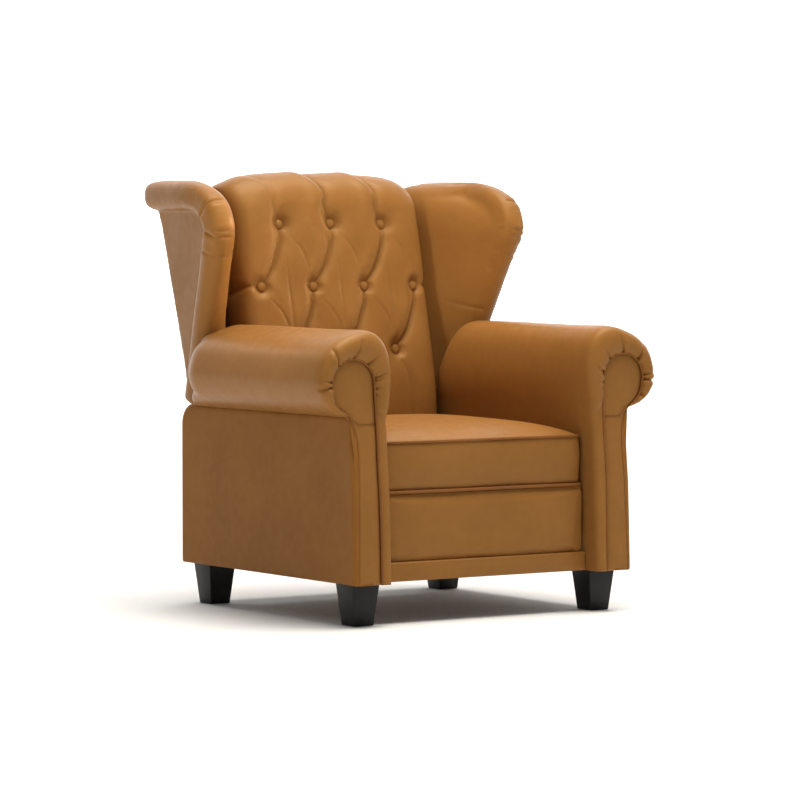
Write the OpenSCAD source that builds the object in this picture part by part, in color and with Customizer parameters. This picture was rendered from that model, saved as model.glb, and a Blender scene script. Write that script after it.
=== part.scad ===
// Push-back wing recliner with rolled arms, a button-tufted back and a scissor footrest.
// Millimetres. The chair faces -Y, +X is to the right as seen from the front.

/* [Body] */
// Outside width across the two arm side panels
base_w = 760; // [720:2:840]
// Thickness of one arm low down
arm_t = 97; // [90:1:115]
// Floor to the underside of the body
body_z = 95; // [70:1:130]
// Front face of the arm scroll panels, in front of the chair's datum
arm_front = 386; // [370:1:410]
// Rear face of the arms, behind the datum
arm_rear_y = 360; // [345:1:380]
// Height of the arm box, where the roll sits on it
arm_box_z = 470; // [455:1:480]
// Radius of the arm box's rear top corner
arm_corner_r = 38; // [20:1:50]
// Thickness of the plywood boards in the arms
arm_board_t = 18; // [12:1:24]
// How far an arm board's top corner stands back from its foot
board_setback = 20; // [0:1:30]
// Thickness of the padding on the arms' inner sides
inner_pad_t = 12; // [8:1:16]

/* [Arm rolls] */
// Radius of the scroll on the arm front
scroll_r = 57; // [45:1:62]
// Height of the scroll's centre above the arm box
scroll_rise = 73; // [62:1:84]
// Distance of the scroll's centre in from the side panel's outer face
scroll_inset = 7; // [3:0.5:12]
// Thickness of the scroll panel
scroll_t = 6; // [6:0.5:10]
// Radius of the piping cord
piping_r = 3; // [2:0.5:4]
// Rounding of the roll's front end
roll_front_r = 46; // [36:1:60]
// Rear end of the roll, behind the datum
roll_rear_y = 247; // [235:1:280]
// Rounding of the roll's rear end
roll_rear_r = 85; // [60:1:90]
// Gap between the roll and the wing behind it
wing_gap = 4; // [2:0.5:10]

/* [Rails and feet] */
// Front face of the bottom rail, in front of the datum
rail_front = 350; // [346:1:352]
// Thickness of the two base rails
rail_t = 22; // [16:1:26]
// Height of the front rail
rail_h = 41; // [30:1:41]
// Top of the rear base panel
rear_panel_z = 296; // [250:1:298]
// Side of a foot at the top
foot_top = 72; // [60:1:76]
// Side of a foot at the floor
foot_bottom = 52; // [40:1:60]
// Distance of the front feet from the datum
foot_front_y = 317; // [300:1:325]
// Distance of the rear feet behind the datum
foot_rear_y = 300; // [280:1:315]
// Distance of a foot's centre in from the side panel's outer face
foot_inset = 53; // [44:1:56]
// Radius of a foot's hanger bolt
foot_bolt_r = 4; // [3:0.5:5]
// Length of a foot's hanger bolt above the foot
foot_bolt_up = 40; // [25:1:60]

/* [Back] */
// Lean of the back from upright, in degrees
lean = 12; // [8:0.5:16]
// Rear face of the back where it leaves the arms, behind the datum
back_rear_y = 374; // [366:1:380]
// Gap between the arm box and the wide part of the back above it
wide_gap = 4; // [3:0.5:8]
// Height of the back's top edge at the middle
back_top = 996; // [960:1:1010]
// Height of the back's top edge at the wings
back_side_top = 925; // [900:1:940]
// Distance of a wing's foot in from the side panel's outer face
wing_inset = 30; // [24:1:34]
// How far the wings spread from foot to top
wing_splay = 30; // [20:1:40]
// Underside of the back's narrow part
back_foot_z = 306; // [300:1:312]
// Depth of the back frame
back_frame_t = 34; // [26:1:40]
// Width of a back frame stile
stile_w = 42; // [34:1:60]
// Thickness of the outside back panel
back_panel_t = 9; // [6:1:12]
// Distance of the back cushion's side from the arm's inner face
cushion_gap = 25; // [19:1:36]
// Height of the back cushion's top
cushion_top = 1018; // [990:1:1030]
// Depth that a button draws the cushion in
tuft_depth = 22; // [10:1:30]
// Radius of a covered button
button_r = 13; // [10:0.5:16]
// Distance between the buttons of one row, as a share of the cushion's half width
button_spread = 0.566; // [0.5:0.002:0.58]
// Number of webbing straps across the back
strap_count = 4; // [3:1:6]
// Width of a webbing strap
strap_w = 50; // [40:1:60]

/* [Wings] */
// Height of the wings' top corner
wing_top = 996; // [980:1:1005]
// Radius of the roll round a wing's edge
wing_roll_r = 33; // [28:0.5:35]
// Thickness of the padding on a wing
wing_pad_t = 16; // [10:1:20]
// Thickness of a wing's plywood board
wing_board_t = 12; // [9:1:15]
// Front of a wing's upper corner, behind the datum
wing_front_high = 104; // [90:1:120]
// Front of a wing's foot, behind the datum
wing_front_low = 290; // [280:1:296]
// Angle that the wings open by towards their front edge
wing_toe = 5.5; // [3:0.5:8]

/* [Seat] */
// Gap between the seat cushion and an arm
seat_gap = 4.5; // [2:0.5:10]
// Front face of the seat cushion, in front of the datum
seat_front = 340; // [330:1:345]
// Rear end of the seat cushion, behind the datum
seat_rear_y = 196; // [180:1:200]
// Underside of the seat cushion
seat_z = 294; // [293:0.5:300]
// Height of the seat cushion's edge
seat_h = 116; // [100:1:125]
// Crown of the seat cushion above its edge
seat_crown = 26; // [10:1:34]
// Depth of the wooden seat frame
seat_frame_h = 40; // [30:1:42]
// Width of a seat frame rail
seat_rail_w = 32; // [26:1:40]
// Radius of the seat springs' wire
spring_wire_r = 2; // [1.5:0.25:2.5]
// Number of sinuous springs
spring_count = 5; // [4:1:7]

/* [Footrest] */
// Height of the footrest pad
pad_h = 149; // [140:1:149]
// Thickness of the footrest pad
pad_t = 8; // [6:1:10]
// Thickness of the footrest board
footboard_t = 12; // [9:1:12]
// Front face of the footrest pad, in front of the datum
pad_front = 345; // [342:1:347]

/* [Mechanism] */
// Recline pivot below the arm box's top
pivot_drop = 30; // [26:1:34]
// Recline pivot behind the datum
pivot_y = 325; // [320:1:330]
// Length of the seat's swing links
crank = 122; // [115:1:124]
// Front swing link in front of the datum
front_link_y = 120; // [90:1:135]
// Upper pivot of the front swing link
front_link_z = 282; // [280:1:284]
// Pivot of the footrest scissor in front of the datum
scissor_y = 220; // [215:1:225]
// Height of the footrest scissor's fixed pivot
scissor_z = 285.5; // [284:0.5:286]
// Half length of a scissor link
half_link = 70; // [66:0.5:70]
// Angle of a folded link to the scissor's line, in degrees
folded = 83; // [82:0.25:83.5]
// Width of a scissor link
link_w = 15; // [12:0.5:15]
// Width of a front swing link
swing_link_w = 24; // [20:1:26]
// Thickness of the steel plates and links
plate_t = 4; // [3:0.25:4]
// Radius of a scissor pin
pin_r = 4; // [3:0.25:4.5]
// Radius of the main pivots and of the cross tubes
shaft_r = 5.5; // [5:0.25:5.75]
// Radial clearance of a pin in its hole
fit = 0.05; // [0.03:0.01:0.08]
// Sideways gap between two plates
plate_gap = 1; // [0.8:0.1:1.2]
// Radius of a steel bolt
bolt_r = 3; // [2.5:0.5:4]

/* [Hidden] */
$fn = 48;

// Sideways places of the right-hand side, from the arm inwards
inner_x = base_w / 2 - arm_t;
scroll_x = base_w / 2 - scroll_inset;
foot_x = base_w / 2 - foot_inset;
back_low_half = base_w / 2 - wing_inset;
back_top_half = back_low_half + wing_splay;
cushion_half = inner_x - cushion_gap;
seat_half = inner_x - seat_gap;
bracket_x = inner_x - plate_t;
swing_x = bracket_x - plate_gap - plate_t;
seat_plate_x = swing_x - plate_gap - plate_t;
outer_link_x = seat_plate_x - plate_gap - plate_t;
inner_link_x = outer_link_x - plate_gap - plate_t;

// The rear end of everything, and the middle between it and the arm fronts
rear_end = 488;
mid_y = (rear_end - arm_front - piping_r) / 2;

// Heights that follow the arm box
scroll_z = arm_box_z + scroll_rise;
wide_z = arm_box_z + wide_gap;
pivot_z = arm_box_z - pivot_drop;

// Places on the mechanism, as [y, z] from the datum
recline_at = [pivot_y, pivot_z];
seat_hinge_at = [pivot_y, pivot_z - crank];
link_top_at = [-front_link_y, front_link_z];
link_foot_at = [-front_link_y, front_link_z - crank];
scissor_at = [-scissor_y, scissor_z];
along = [-1, 0];
across = [0, -1];
step = half_link * cos(folded);
drop = half_link * sin(folded);
function scissor(a, b) = scissor_at + a * step * along + b * drop * across;
slot_end = 2 * half_link * sin(90 - folded);

// The board link's own direction
board_dir = (scissor(6, 2) - scissor(4, 0)) / (2 * half_link);
footboard_rear = pad_front - pad_t - footboard_t;
pad_top = seat_z - piping_r - 3;
pad_z = pad_top - pad_h;

seat_frame_top = seat_z - 2 * spring_wire_r;
seat_frame_z = seat_frame_top - seat_frame_h;
seat_frame_front = seat_front - 20;
frame_half_front = inner_link_x - 2;
wide_notch = 190;
back_narrow_half = seat_plate_x - 2;
notch_z = seat_hinge_at[1] + 27;

// Moves what is drawn from the datum to the part's origin, under the middle of its box
module chair() {
    translate([0, -mid_y, 0]) children();
}

// The left-hand copy of a right-hand piece
module other_side() {
    mirror([1, 0, 0]) children();
}

// An outline in [y, z], as a plate of thickness t from x
module plate(x, t, outline) {
    translate([x, 0, 0]) rotate([90, 0, 90]) linear_extrude(t) polygon(outline);
}

// A round bar along X from x, at [y, z]
module pin(x, length, at, r) {
    translate([x, at[0], at[1]]) rotate([0, 90, 0]) cylinder(h = length, r = r);
}

// A straight link between two places, with an eye at each end
module link_bar(x, from, to, wide) {
    span = norm(to - from);
    turn = atan2(to[1] - from[1], to[0] - from[0]);
    translate([x, from[0], from[1]]) rotate([turn, 0, 0]) {
        translate([0, 0, 1 - wide / 2]) cube([plate_t, span, wide - 2]);
        pin(0, plate_t, [0, 0], wide / 2);
        pin(0, plate_t, [span, 0], wide / 2);
    }
}

// Rings of points joined into one closed solid, each end closed round its middle
function middle(ring) = [for (k = [0:2]) [for (p = ring) p[k]] * [for (p = ring) 1 / len(ring)]];
function turning(ring, k = 0, total = [0, 0, 0]) = k == len(ring) ? total
    : turning(ring, k + 1, total + cross(ring[k] - ring[0], ring[(k + 1) % len(ring)] - ring[0]));
module loft(given) {
    n = len(given[0]);
    m = len(given);
    first = middle(given[0]);
    last = middle(given[m - 1]);
    wrong_way = turning(given[0]) * (last - first) > 0;
    rings = wrong_way ? [for (ring = given) [for (k = [n - 1:-1:0]) ring[k]]] : given;
    points = concat([for (ring = rings) each ring], [first, last]);
    sides = [for (i = [0:m - 2], j = [0:n - 1]) let (k = (j + 1) % n)
        each [[i * n + j, i * n + k, (i + 1) * n + k], [i * n + j, (i + 1) * n + k, (i + 1) * n + j]]];
    front = [for (j = [0:n - 1]) [m * n, (j + 1) % n, j]];
    back = [for (j = [0:n - 1]) [m * n + 1, (m - 1) * n + j, (m - 1) * n + (j + 1) % n]];
    polyhedron(points, concat(sides, front, back));
}

// A tube along a path, of one radius or one for each point; up is never along the path
function unit(v) = v / norm(v);
module tube(path, r, sides, up) {
    last = len(path) - 1;
    loft([for (i = [0:last]) let (
        ahead = unit(path[min(i + 1, last)] - path[max(i - 1, 0)]),
        side = unit(cross(ahead, up)),
        over = cross(side, ahead),
        size = is_list(r) ? r[i] : r)
        [for (k = [0:sides - 1]) path[i] + size * (cos(360 * k / sides) * side + sin(360 * k / sides) * over)]]);
}

// ARM BOXES
module right_arm_frame() {
    color("burlywood") chair()
        plate(inner_x + inner_pad_t, arm_board_t, arm_outline(arm_front - scroll_t, board_setback));
}
module left_arm_frame() { other_side() right_arm_frame(); }

function arm_outline(front, setback = 0) = concat(
    [[-front, body_z], [arm_rear_y, body_z]],
    [for (a = [0:15:90]) [arm_rear_y - arm_corner_r + arm_corner_r * cos(a),
        arm_box_z - arm_corner_r + arm_corner_r * sin(a)]],
    [[-front + setback, arm_box_z]]);

side_panel_x = inner_x + inner_pad_t + arm_board_t;
module right_side_panel() {
    color("#a0672d") chair() difference() {
        plate(side_panel_x, base_w / 2 - side_panel_x, arm_outline(arm_front - scroll_t));
        for (y = [-foot_front_y, foot_rear_y])
            translate([foot_x, y, body_z - 1]) cylinder(h = foot_bolt_up + 1, r = foot_bolt_r);
    }
}
module left_side_panel() { other_side() right_side_panel(); }

module right_inner_panel() {
    color("#b3752f") chair() difference() {
        plate(inner_x, inner_pad_t, arm_outline(arm_front - scroll_t));
        bracket_holes(inner_x - 1, inner_pad_t + 2);
    }
}
module left_inner_panel() { other_side() right_inner_panel(); }

// ARM ROLLS
// The roll's section from the arm box's inner top edge, and the middle that its ends shrink to
roll_corner = [inner_x, arm_box_z];
roll_outline = [[0, 0], [-10, 35], [-15, 78], [-11, 122], [2, 160], [24, 184], [53, 192],
    [84, 187], [127, 169], [159, 138], [175, 103], [180, 70], [170, 41], [149, 18], [123, 6], [97, 0]];
roll_middle = [82, 91];
roll_nose = arm_front - scroll_t - 0.2;
roll_length = roll_nose + roll_rear_y;
function roll_scale(y) =
    let (t = (-y - roll_nose + roll_front_r) / roll_front_r, s = (y - roll_rear_y + roll_rear_r) / roll_rear_r)
    t > 0 ? 1 - 0.32 * (1 - pow(1 - pow(min(t, 1), 2.6), 1 / 2.6)) :
    s > 0 ? 1 - 0.7 * (1 - sqrt(1 - min(s, 1) * min(s, 1))) : 1;
function roll_ring(y) = [for (p = roll_outline) let (q = roll_corner + roll_middle + roll_scale(y) * (p - roll_middle))
    [q[0], y, max(arm_box_z, q[1])]];
roll_stations = concat(
    [for (a = [90:-15:0]) roll_front_r * (1 - sin(a)) - roll_nose],
    [for (k = [1:3]) roll_front_r - roll_nose + (roll_length - roll_front_r - roll_rear_r) * k / 4],
    [for (a = [0:15:90]) roll_rear_y - roll_rear_r + roll_rear_r * sin(a)]);

module right_arm_roll() {
    color("#c28138") chair() difference() {
        loft([for (y = roll_stations) roll_ring(y)]);
        wing_path_cut();
    }
}
module left_arm_roll() { other_side() right_arm_roll(); }

// The room that the wing needs when it leans back past the roll
roll_height = wing_top - wing_roll_r;
corner_long = 170;
corner_tall = 85;
corner_z = roll_height - corner_tall;
function wing_front_y(z) = wing_front_low
    + (wing_front_high - wing_front_low) * (z - wide_z) / (corner_z - wide_z);
wing_slope = (back_top_half - back_low_half) / (back_side_top - wide_z);
function wing_x(z) = back_low_half + (z - wide_z) * wing_slope;
// Outer face of a wing at a point of its plane
function wing_out(y, z) = wing_x(z) + (lean_y(0, z) - y) * tan(wing_toe);
module wing_path_cut() {
    reach = wing_roll_r + wing_gap;
    inward = cushion_half - 100;
    hull() for (z = [arm_box_z - 20, arm_box_z + 230], y = [wing_front_y(z) - wing_gap - 1, rear_end])
        translate([inward, y, z]) cube([wing_out(wing_front_y(z), z) + reach - inward, 1, 1]);
}

// SCROLL FRONTS
column_out = [for (p = [[0, body_z], [0, arm_box_z - 170], [-10, arm_box_z - 70],
    [-12, arm_box_z - 20], [-2, arm_box_z + 4], [12, arm_box_z + 16]]) [base_w / 2 + p[0], p[1]]];
module right_scroll_panel() {
    color("#bb7c36") chair() translate([0, scroll_t - arm_front, 0]) rotate([90, 0, 0])
        linear_extrude(scroll_t) union() {
            translate([scroll_x, scroll_z]) circle(r = scroll_r);
            polygon(concat([[scroll_x - scroll_r, body_z]], column_out,
                [[scroll_x + 40, scroll_z - 30], [scroll_x, scroll_z], [scroll_x - scroll_r, scroll_z]]));
        }
}
module left_scroll_panel() { other_side() right_scroll_panel(); }

piping_turn = scroll_r + piping_r + 0.3;
piping_path = concat(
    [[scroll_x - piping_turn, body_z + piping_r], [scroll_x - piping_turn, 300]],
    [for (a = [180:-12:-36]) [scroll_x + piping_turn * cos(a), scroll_z + piping_turn * sin(a)]]);
module right_scroll_piping() {
    color("#9c6228") chair()
        tube([for (p = piping_path) [p[0], scroll_t - arm_front - piping_r - 0.2, p[1]]], piping_r, 8, [0, 1, 0]);
}
module left_scroll_piping() { other_side() right_scroll_piping(); }

// BASE RAILS
module front_rail() {
    color("#b3752f") chair() translate([-inner_x, -rail_front, body_z]) cube([2 * inner_x, rail_t, rail_h]);
}
module rear_rail() {
    color("#a0672d") chair() translate([-inner_x, arm_rear_y - rail_t, body_z])
        cube([2 * inner_x, rail_t, rear_panel_z - body_z]);
}

// FEET
module foot(x, y) {
    color("#1d1b1a") chair() difference() {
        hull() {
            translate([x - foot_top / 2, y - foot_top / 2, body_z - 1]) cube([foot_top, foot_top, 1]);
            translate([x - foot_bottom / 2, y - foot_bottom / 2, 0]) cube([foot_bottom, foot_bottom, 1]);
        }
        translate([x, y, body_z - foot_bolt_up]) cylinder(h = foot_bolt_up + 1, r = foot_bolt_r);
    }
}
module front_left_foot() { foot(-foot_x, -foot_front_y); }
module front_right_foot() { foot(foot_x, -foot_front_y); }
module rear_left_foot() { foot(-foot_x, foot_rear_y); }
module rear_right_foot() { foot(foot_x, foot_rear_y); }
module foot_bolts() {
    color("silver") chair() for (x = [-foot_x, foot_x], y = [-foot_front_y, foot_rear_y])
        translate([x, y, body_z - foot_bolt_up]) cylinder(h = 2 * foot_bolt_up, r = foot_bolt_r - fit);
}

// BASE BRACKETS
bracket_outline = [[-front_link_y - 22, front_link_z - 34], [arm_rear_y - 70, front_link_z - 34],
    [arm_rear_y - rail_t - 1, front_link_z - 10], [arm_rear_y - rail_t - 1, pivot_z + 14], [pivot_y - 16, pivot_z + 14],
    [pivot_y - 34, pivot_z - 20], [pivot_y - 50, front_link_z + 9], [-front_link_y - 22, front_link_z + 9]];
bolt_places = [[-front_link_y + 60, front_link_z - 14], [60, front_link_z - 14], [200, front_link_z - 14],
    [pivot_y - 12, front_link_z + 40]];
module bracket_holes(x, length) {
    for (at = bolt_places) pin(x, length, at, bolt_r + fit);
}
module right_base_bracket() {
    color("dimgray") chair() difference() {
        union() {
            plate(bracket_x, plate_t, bracket_outline);
            for (at = [recline_at, link_top_at])
                pin(swing_x + 0.3, bracket_x - swing_x, at, shaft_r);
        }
        bracket_holes(bracket_x - 1, plate_t + 2);
    }
}
module left_base_bracket() { other_side() right_base_bracket(); }
module bracket_bolts() {
    color("silver") chair() for (side = [-1, 1], at = bolt_places) scale([side, 1, 1])
        pin(bracket_x, inner_x + inner_pad_t - bracket_x, at, bolt_r);
}

// BACK
// Draws in the back's own frame: x across, -y forwards from its rear face, z up the lean
module leaned() {
    chair() translate([0, back_rear_y, wide_z]) rotate([-lean, 0, 0]) children();
}
function up_lean(z) = (z - wide_z) / cos(lean);
// How far behind the datum the plane v in front of the rear face lies, at a height
function lean_y(v, z) = back_rear_y + (z - wide_z) * tan(lean) - v / cos(lean);

frame_v = back_panel_t;
frame_foot_w = up_lean(back_foot_z);
frame_notch_w = up_lean(notch_z);
frame_top_w = up_lean(back_side_top) - 8;
module back_frame() {
    color("burlywood") leaned() {
        for (side = [-1, 1]) scale([side, 1, 1]) {
            translate([swing_x - stile_w, -frame_v - back_frame_t, frame_notch_w])
                cube([stile_w, back_frame_t, frame_top_w - frame_notch_w]);
            translate([swing_x - stile_w, -frame_v - back_frame_t, frame_foot_w])
                cube([back_narrow_half - swing_x + stile_w, back_frame_t, frame_notch_w - frame_foot_w]);
        }
        for (w = [frame_foot_w, frame_foot_w + 2 * button_row - 6, frame_top_w - stile_w])
            translate([stile_w - swing_x, -frame_v - back_frame_t, w])
                cube([2 * (swing_x - stile_w), back_frame_t, stile_w]);
        for (side = [-1, 1], w = [30, frame_foot_w + 2 * button_row - 6, frame_top_w - stile_w])
            scale([side, 1, 1]) translate([swing_x, -frame_v - back_frame_t, w])
                cube([wing_x(wide_z + w * cos(lean)) - wing_board_t - swing_x + 0.3, back_frame_t, stile_w]);
    }
}

web_t = 1.5;
module back_webbing() {
    first = frame_foot_w + stile_w + 20;
    pitch = (frame_top_w - stile_w - 20 - strap_w - first) / (strap_count - 1);
    color("black") leaned() for (k = [0:strap_count - 1])
        translate([-swing_x + 2, -frame_v - back_frame_t - web_t, first + k * pitch])
            cube([2 * swing_x - 4, web_t, strap_w]);
}

cushion_v = frame_v + back_frame_t + web_t;
cushion_high_w = up_lean(cushion_top) - 17;
cushion_low_w = -0.26 * cushion_high_w;
cushion_full_v = 166;
button_lift = 2;
button_low_w = 0.1744 * cushion_high_w;
button_row = 0.2875 * cushion_high_w;
button_pitch = button_spread * cushion_half;
// Every button as [x, w]: three in the upper and lower rows, four between them
buttons = [for (row = [0:2], k = [0:(row == 1 ? 3 : 2)])
    [(k - (row == 1 ? 1.5 : 1)) * button_pitch, button_low_w + row * button_row]];
// The folds join neighbours of different rows, and the outer ones to the cushion's edges
folds = concat(
    [for (a = buttons, b = buttons) if (b[1] > a[1] + 1 && norm(b - a) < 1.3 * button_row) [a, b]],
    [for (b = buttons) if (b[1] > button_low_w + 1.5 * button_row) [b, b + [0, cushion_half]]],
    [for (b = buttons) if (b[1] < button_low_w + 1) [b, b - [0, cushion_half]]],
    [for (b = buttons) if (abs(b[0]) > button_pitch * 1.1) [b, b + [sign(b[0]) * 80, 0]]]);
function to_line(p, a, b) = let (t = max(0, min(1, (p - a) * (b - a) / ((b - a) * (b - a))))) norm(p - a - t * (b - a));
function bell(d, width) = exp(-d * d / (width * width));
function tuft(p) = let (hole = max([for (b = buttons) bell(norm(p - b), 30)]),
    fold = max([for (f = folds) bell(to_line(p, f[0], f[1]), 13)]))
    tuft_depth * (0.75 * hole + 0.4 * fold);
function cushion_edge(w) = let (t = (w - cushion_low_w) / (0.24 * cushion_high_w),
    s = (w / cushion_high_w - 0.824) / 0.185)
    s > 0 ? sqrt(1 - min(s, 1) * min(s, 1)) : t < 1 ? sqrt(1 - 0.42 * (1 - t) * (1 - t)) : 1;
function cushion_front(x, w, top) = let (k = w + (cushion_high_w - top), side = abs(x) / cushion_half)
    cushion_v + 14 + (cushion_full_v - cushion_v - 14) * cushion_edge(k) * (1 - 0.42 * pow(side, 7))
    - tuft([x, w]) * min(1, cushion_edge(k) + 0.2);
corner_drop = 30;
function cushion_top_w(x) = cushion_high_w - corner_drop * pow(abs(x) / cushion_half, 4.5);
columns = 22;
bands = 23;
function cushion_ring(j) = let (t = 1 - pow(1 - j / bands, 1.25))
    concat(
        [for (s = [1, -1]) let (top = cushion_high_w - 36)
            [s * (cushion_half - 8), -cushion_v - 0.3, cushion_low_w + t * (top - cushion_low_w)]],
        [for (i = [0:columns]) let (
            x = cushion_half * sin(-90 + 180 * i / columns) * 0.35 + cushion_half * (2 * i / columns - 1) * 0.65,
            top = cushion_top_w(x),
            w = cushion_low_w + t * (top - cushion_low_w))
            [x, -cushion_front(x, w, top), w]]);
module back_cushion() {
    color("#bd7f37") leaned() loft([for (j = [0:bands]) cushion_ring(j)]);
}

module back_buttons() {
    color("#a8692b") leaned() for (b = buttons)
        translate([b[0], -cushion_front(b[0], b[1], cushion_top_w(b[0])) - button_lift, b[1]]) rotate([90, 0, 0])
            intersection() {
                translate([0, 0, -button_r * 0.8]) sphere(r = button_r * 1.28);
                cylinder(h = button_r, r = button_r);
            }
}

module outside_back_panel() {
    side_w = up_lean(back_side_top);
    top_w = up_lean(back_top);
    arch = [for (k = [5:-1:-5]) let (x = back_top_half * k / 5) [x, side_w + (top_w - side_w) * cos(18 * k)]];
    color("#a0672d") leaned() rotate([90, 0, 0]) linear_extrude(back_panel_t)
        polygon(concat([[-back_low_half, 0], [-back_narrow_half, 0], [-back_narrow_half, frame_foot_w],
            [back_narrow_half, frame_foot_w], [back_narrow_half, 0], [back_low_half, 0]], arch));
}

// WINGS
function roll_front(z) = wing_front_y(z) + wing_roll_r;
corner_y = roll_front(corner_z) + corner_long;
wing_foot_z = wide_z + wing_roll_r * 0.45;
board_foot_z = wide_z + 3;
// Below 1 the corner is fuller than an ellipse
corner_bow = 0.85;
roll_path = concat(
    [for (back_off = [0, 4, 14, 88, 148]) [rear_end - back_off, roll_height]],
    [for (a = [0:15:90]) [corner_y - corner_long * pow(sin(a), corner_bow),
        corner_z + corner_tall * pow(cos(a), corner_bow)]],
    [for (k = [1:6]) let (z = corner_z + (wing_foot_z - corner_z) * k / 6) [roll_front(z), z]]);
board_edge = wing_roll_r * 1.12 + 2;
module right_wing_frame() {
    outline = [
        [roll_front(board_foot_z) + board_edge, board_foot_z],
        [lean_y(back_panel_t + 0.3, board_foot_z), board_foot_z],
        [lean_y(back_panel_t + 0.3, roll_height - board_edge), roll_height - board_edge],
        each [for (a = [0:30:90]) [corner_y - (corner_long - board_edge) * sin(a),
            corner_z + (corner_tall - board_edge) * cos(a)]]];
    color("burlywood") chair()
        loft([for (out = [-wing_board_t, 0]) [for (p = outline) [wing_out(p[0], p[1]) + out, p[0], p[1]]]]);
}
module left_wing_frame() { other_side() right_wing_frame(); }

wing_inner_x = cushion_half + 4;
function wing_ring(z, shrink) = let (
    rear = lean_y(cushion_v + 1, z),
    back_off = z > corner_z ? corner_long * (1 - sqrt(1 - pow(min(0.97, (z - corner_z) / corner_tall), 2))) : 0,
    front = roll_front(min(z, corner_z)) + back_off,
    under = wing_board_t + 1)
    concat([[wing_out(front, z) - under, front, z], [wing_out(rear, z) - under, rear, z]],
        [for (k = [0:7]) let (t = k / 7, x = wing_inner_x + shrink
            + (wing_out(front, z) - wing_roll_r + 2 - wing_inner_x - shrink) * pow(t, 1.15) - 9 * sin(180 * t))
            [x, rear + (front - rear) * t, z]]);
module right_wing_pad() {
    shares = [0, 0.107, 0.233, 0.36, 0.486, 0.61, 0.737, 0.822, 0.895, 0.948, 0.98];
    color("#b87a35") chair() {
        loft(concat([for (t = shares) wing_ring(board_foot_z + t * (roll_height - board_foot_z), 0)],
            [wing_ring(roll_height + 5, 10), wing_ring(roll_height + 16, wing_roll_r)]));
        tube([for (p = roll_path) [wing_out(p[0], p[1]), p[0], p[1]]],
            [for (k = [0:len(roll_path) - 1]) wing_roll_r * (k == 0 ? 0.7 : k == 1 ? 0.9 : 1)], 12, [1, 0, 0]);
    }
}
module left_wing_pad() { other_side() right_wing_pad(); }

module right_back_bracket() {
    eye = shaft_r + 8;
    bracket_top = wide_z + 20;
    outline = [[pivot_y - eye, seat_hinge_at[1] - eye], [pivot_y + eye, seat_hinge_at[1] - eye],
        [pivot_y + eye, pivot_z + 10], [lean_y(frame_v + 4, bracket_top), bracket_top],
        [lean_y(frame_v + back_frame_t - 4, bracket_top), bracket_top], [pivot_y - eye, pivot_z + 10]];
    color("dimgray") chair() {
        difference() {
            plate(swing_x, plate_t, outline);
            pin(swing_x - 1, plate_t + 2, recline_at, shaft_r + fit);
        }
        pin(seat_plate_x - plate_gap / 2, plate_t + plate_gap * 1.5 + 1, seat_hinge_at, shaft_r);
    }
}
module left_back_bracket() { other_side() right_back_bracket(); }

// SEAT
seat_rail_half = seat_plate_x;
seat_frame_rear = seat_rear_y - 6;
module seat_frame() {
    color("burlywood") chair() {
        for (side = [-1, 1]) scale([side, 1, 1]) {
            translate([frame_half_front - seat_rail_w, -seat_frame_front, seat_frame_z])
                cube([seat_rail_w, seat_frame_front + seat_frame_rear, seat_frame_h]);
            translate([frame_half_front, -wide_notch, seat_frame_z])
                cube([seat_rail_half - frame_half_front, wide_notch + seat_frame_rear, seat_frame_h]);
        }
        for (y = [-seat_frame_front, seat_frame_rear - seat_rail_w])
            translate([seat_rail_w - frame_half_front, y, seat_frame_z])
                cube([2 * (frame_half_front - seat_rail_w), seat_rail_w, seat_frame_h]);
    }
}

spring_pitch = 2 * (frame_half_front - seat_rail_w) / (spring_count + 1);
spring_z = seat_frame_top + spring_wire_r;
spring_front = -seat_frame_front + 12;
spring_rear = seat_frame_rear - 12;
spring_waves = 9;
function spring_path(x) = let (waves = 2 * spring_waves, run = (spring_rear - spring_front) / waves)
    concat([[x, spring_front, spring_z]],
        [for (k = [1:waves - 1]) each [
            [x + (k % 2 == 0 ? -22 : 22), spring_front + (k - 0.35) * run, spring_z],
            [x + (k % 2 == 0 ? -22 : 22), spring_front + (k + 0.35) * run, spring_z]]],
        [[x, spring_rear, spring_z]]);
module seat_springs() {
    color("gray") chair() for (k = [1:spring_count])
        tube(spring_path(k * spring_pitch - frame_half_front + seat_rail_w), spring_wire_r, 6, [0, 0, 1]);
}
module spring_clips() {
    color("silver") chair() for (k = [1:spring_count], y = [spring_front - 10, spring_rear + 2])
        translate([k * spring_pitch - frame_half_front + seat_rail_w - 8, y, seat_frame_top])
            cube([16, 8, 2 * spring_wire_r - 0.3]);
}

// The seat cushion's section across the chair, drawn in a little at its corners
cushion_r = 16;
function seat_ring(y, k) = let (half = seat_half - 8 * (1 - k), top = seat_h - 10 * (1 - k), low = 4 * (1 - k))
    concat(
        [for (a = [-90:30:0]) [half - cushion_r + cushion_r * cos(a), y, seat_z + low + cushion_r + cushion_r * sin(a)]],
        [for (a = [0:30:90]) [half - cushion_r + cushion_r * cos(a), y, seat_z + top - cushion_r + cushion_r * sin(a)]],
        [for (i = [1:11]) let (t = 1 - 2 * i / 12, x = t * (half - cushion_r))
            [x, y, seat_z + top + seat_crown * k * (1 - pow(abs(t), 2.6))]],
        [for (a = [90:30:180]) [-half + cushion_r + cushion_r * cos(a), y, seat_z + top - cushion_r + cushion_r * sin(a)]],
        [for (a = [180:30:270]) [-half + cushion_r + cushion_r * cos(a), y, seat_z + low + cushion_r + cushion_r * sin(a)]]);
seat_length = seat_front + seat_rear_y;
module seat_cushion() {
    color("#bf8239") chair() loft([for (t = [0, 0.012, 0.03, 0.08, 0.16, 0.3, 0.45, 0.6, 0.75, 0.87, 0.95, 1])
        seat_ring(seat_length * t - seat_front, min(1, sqrt(max(0, 1 - pow(abs(2 * t - 1), 9)))))]);
}
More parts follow.
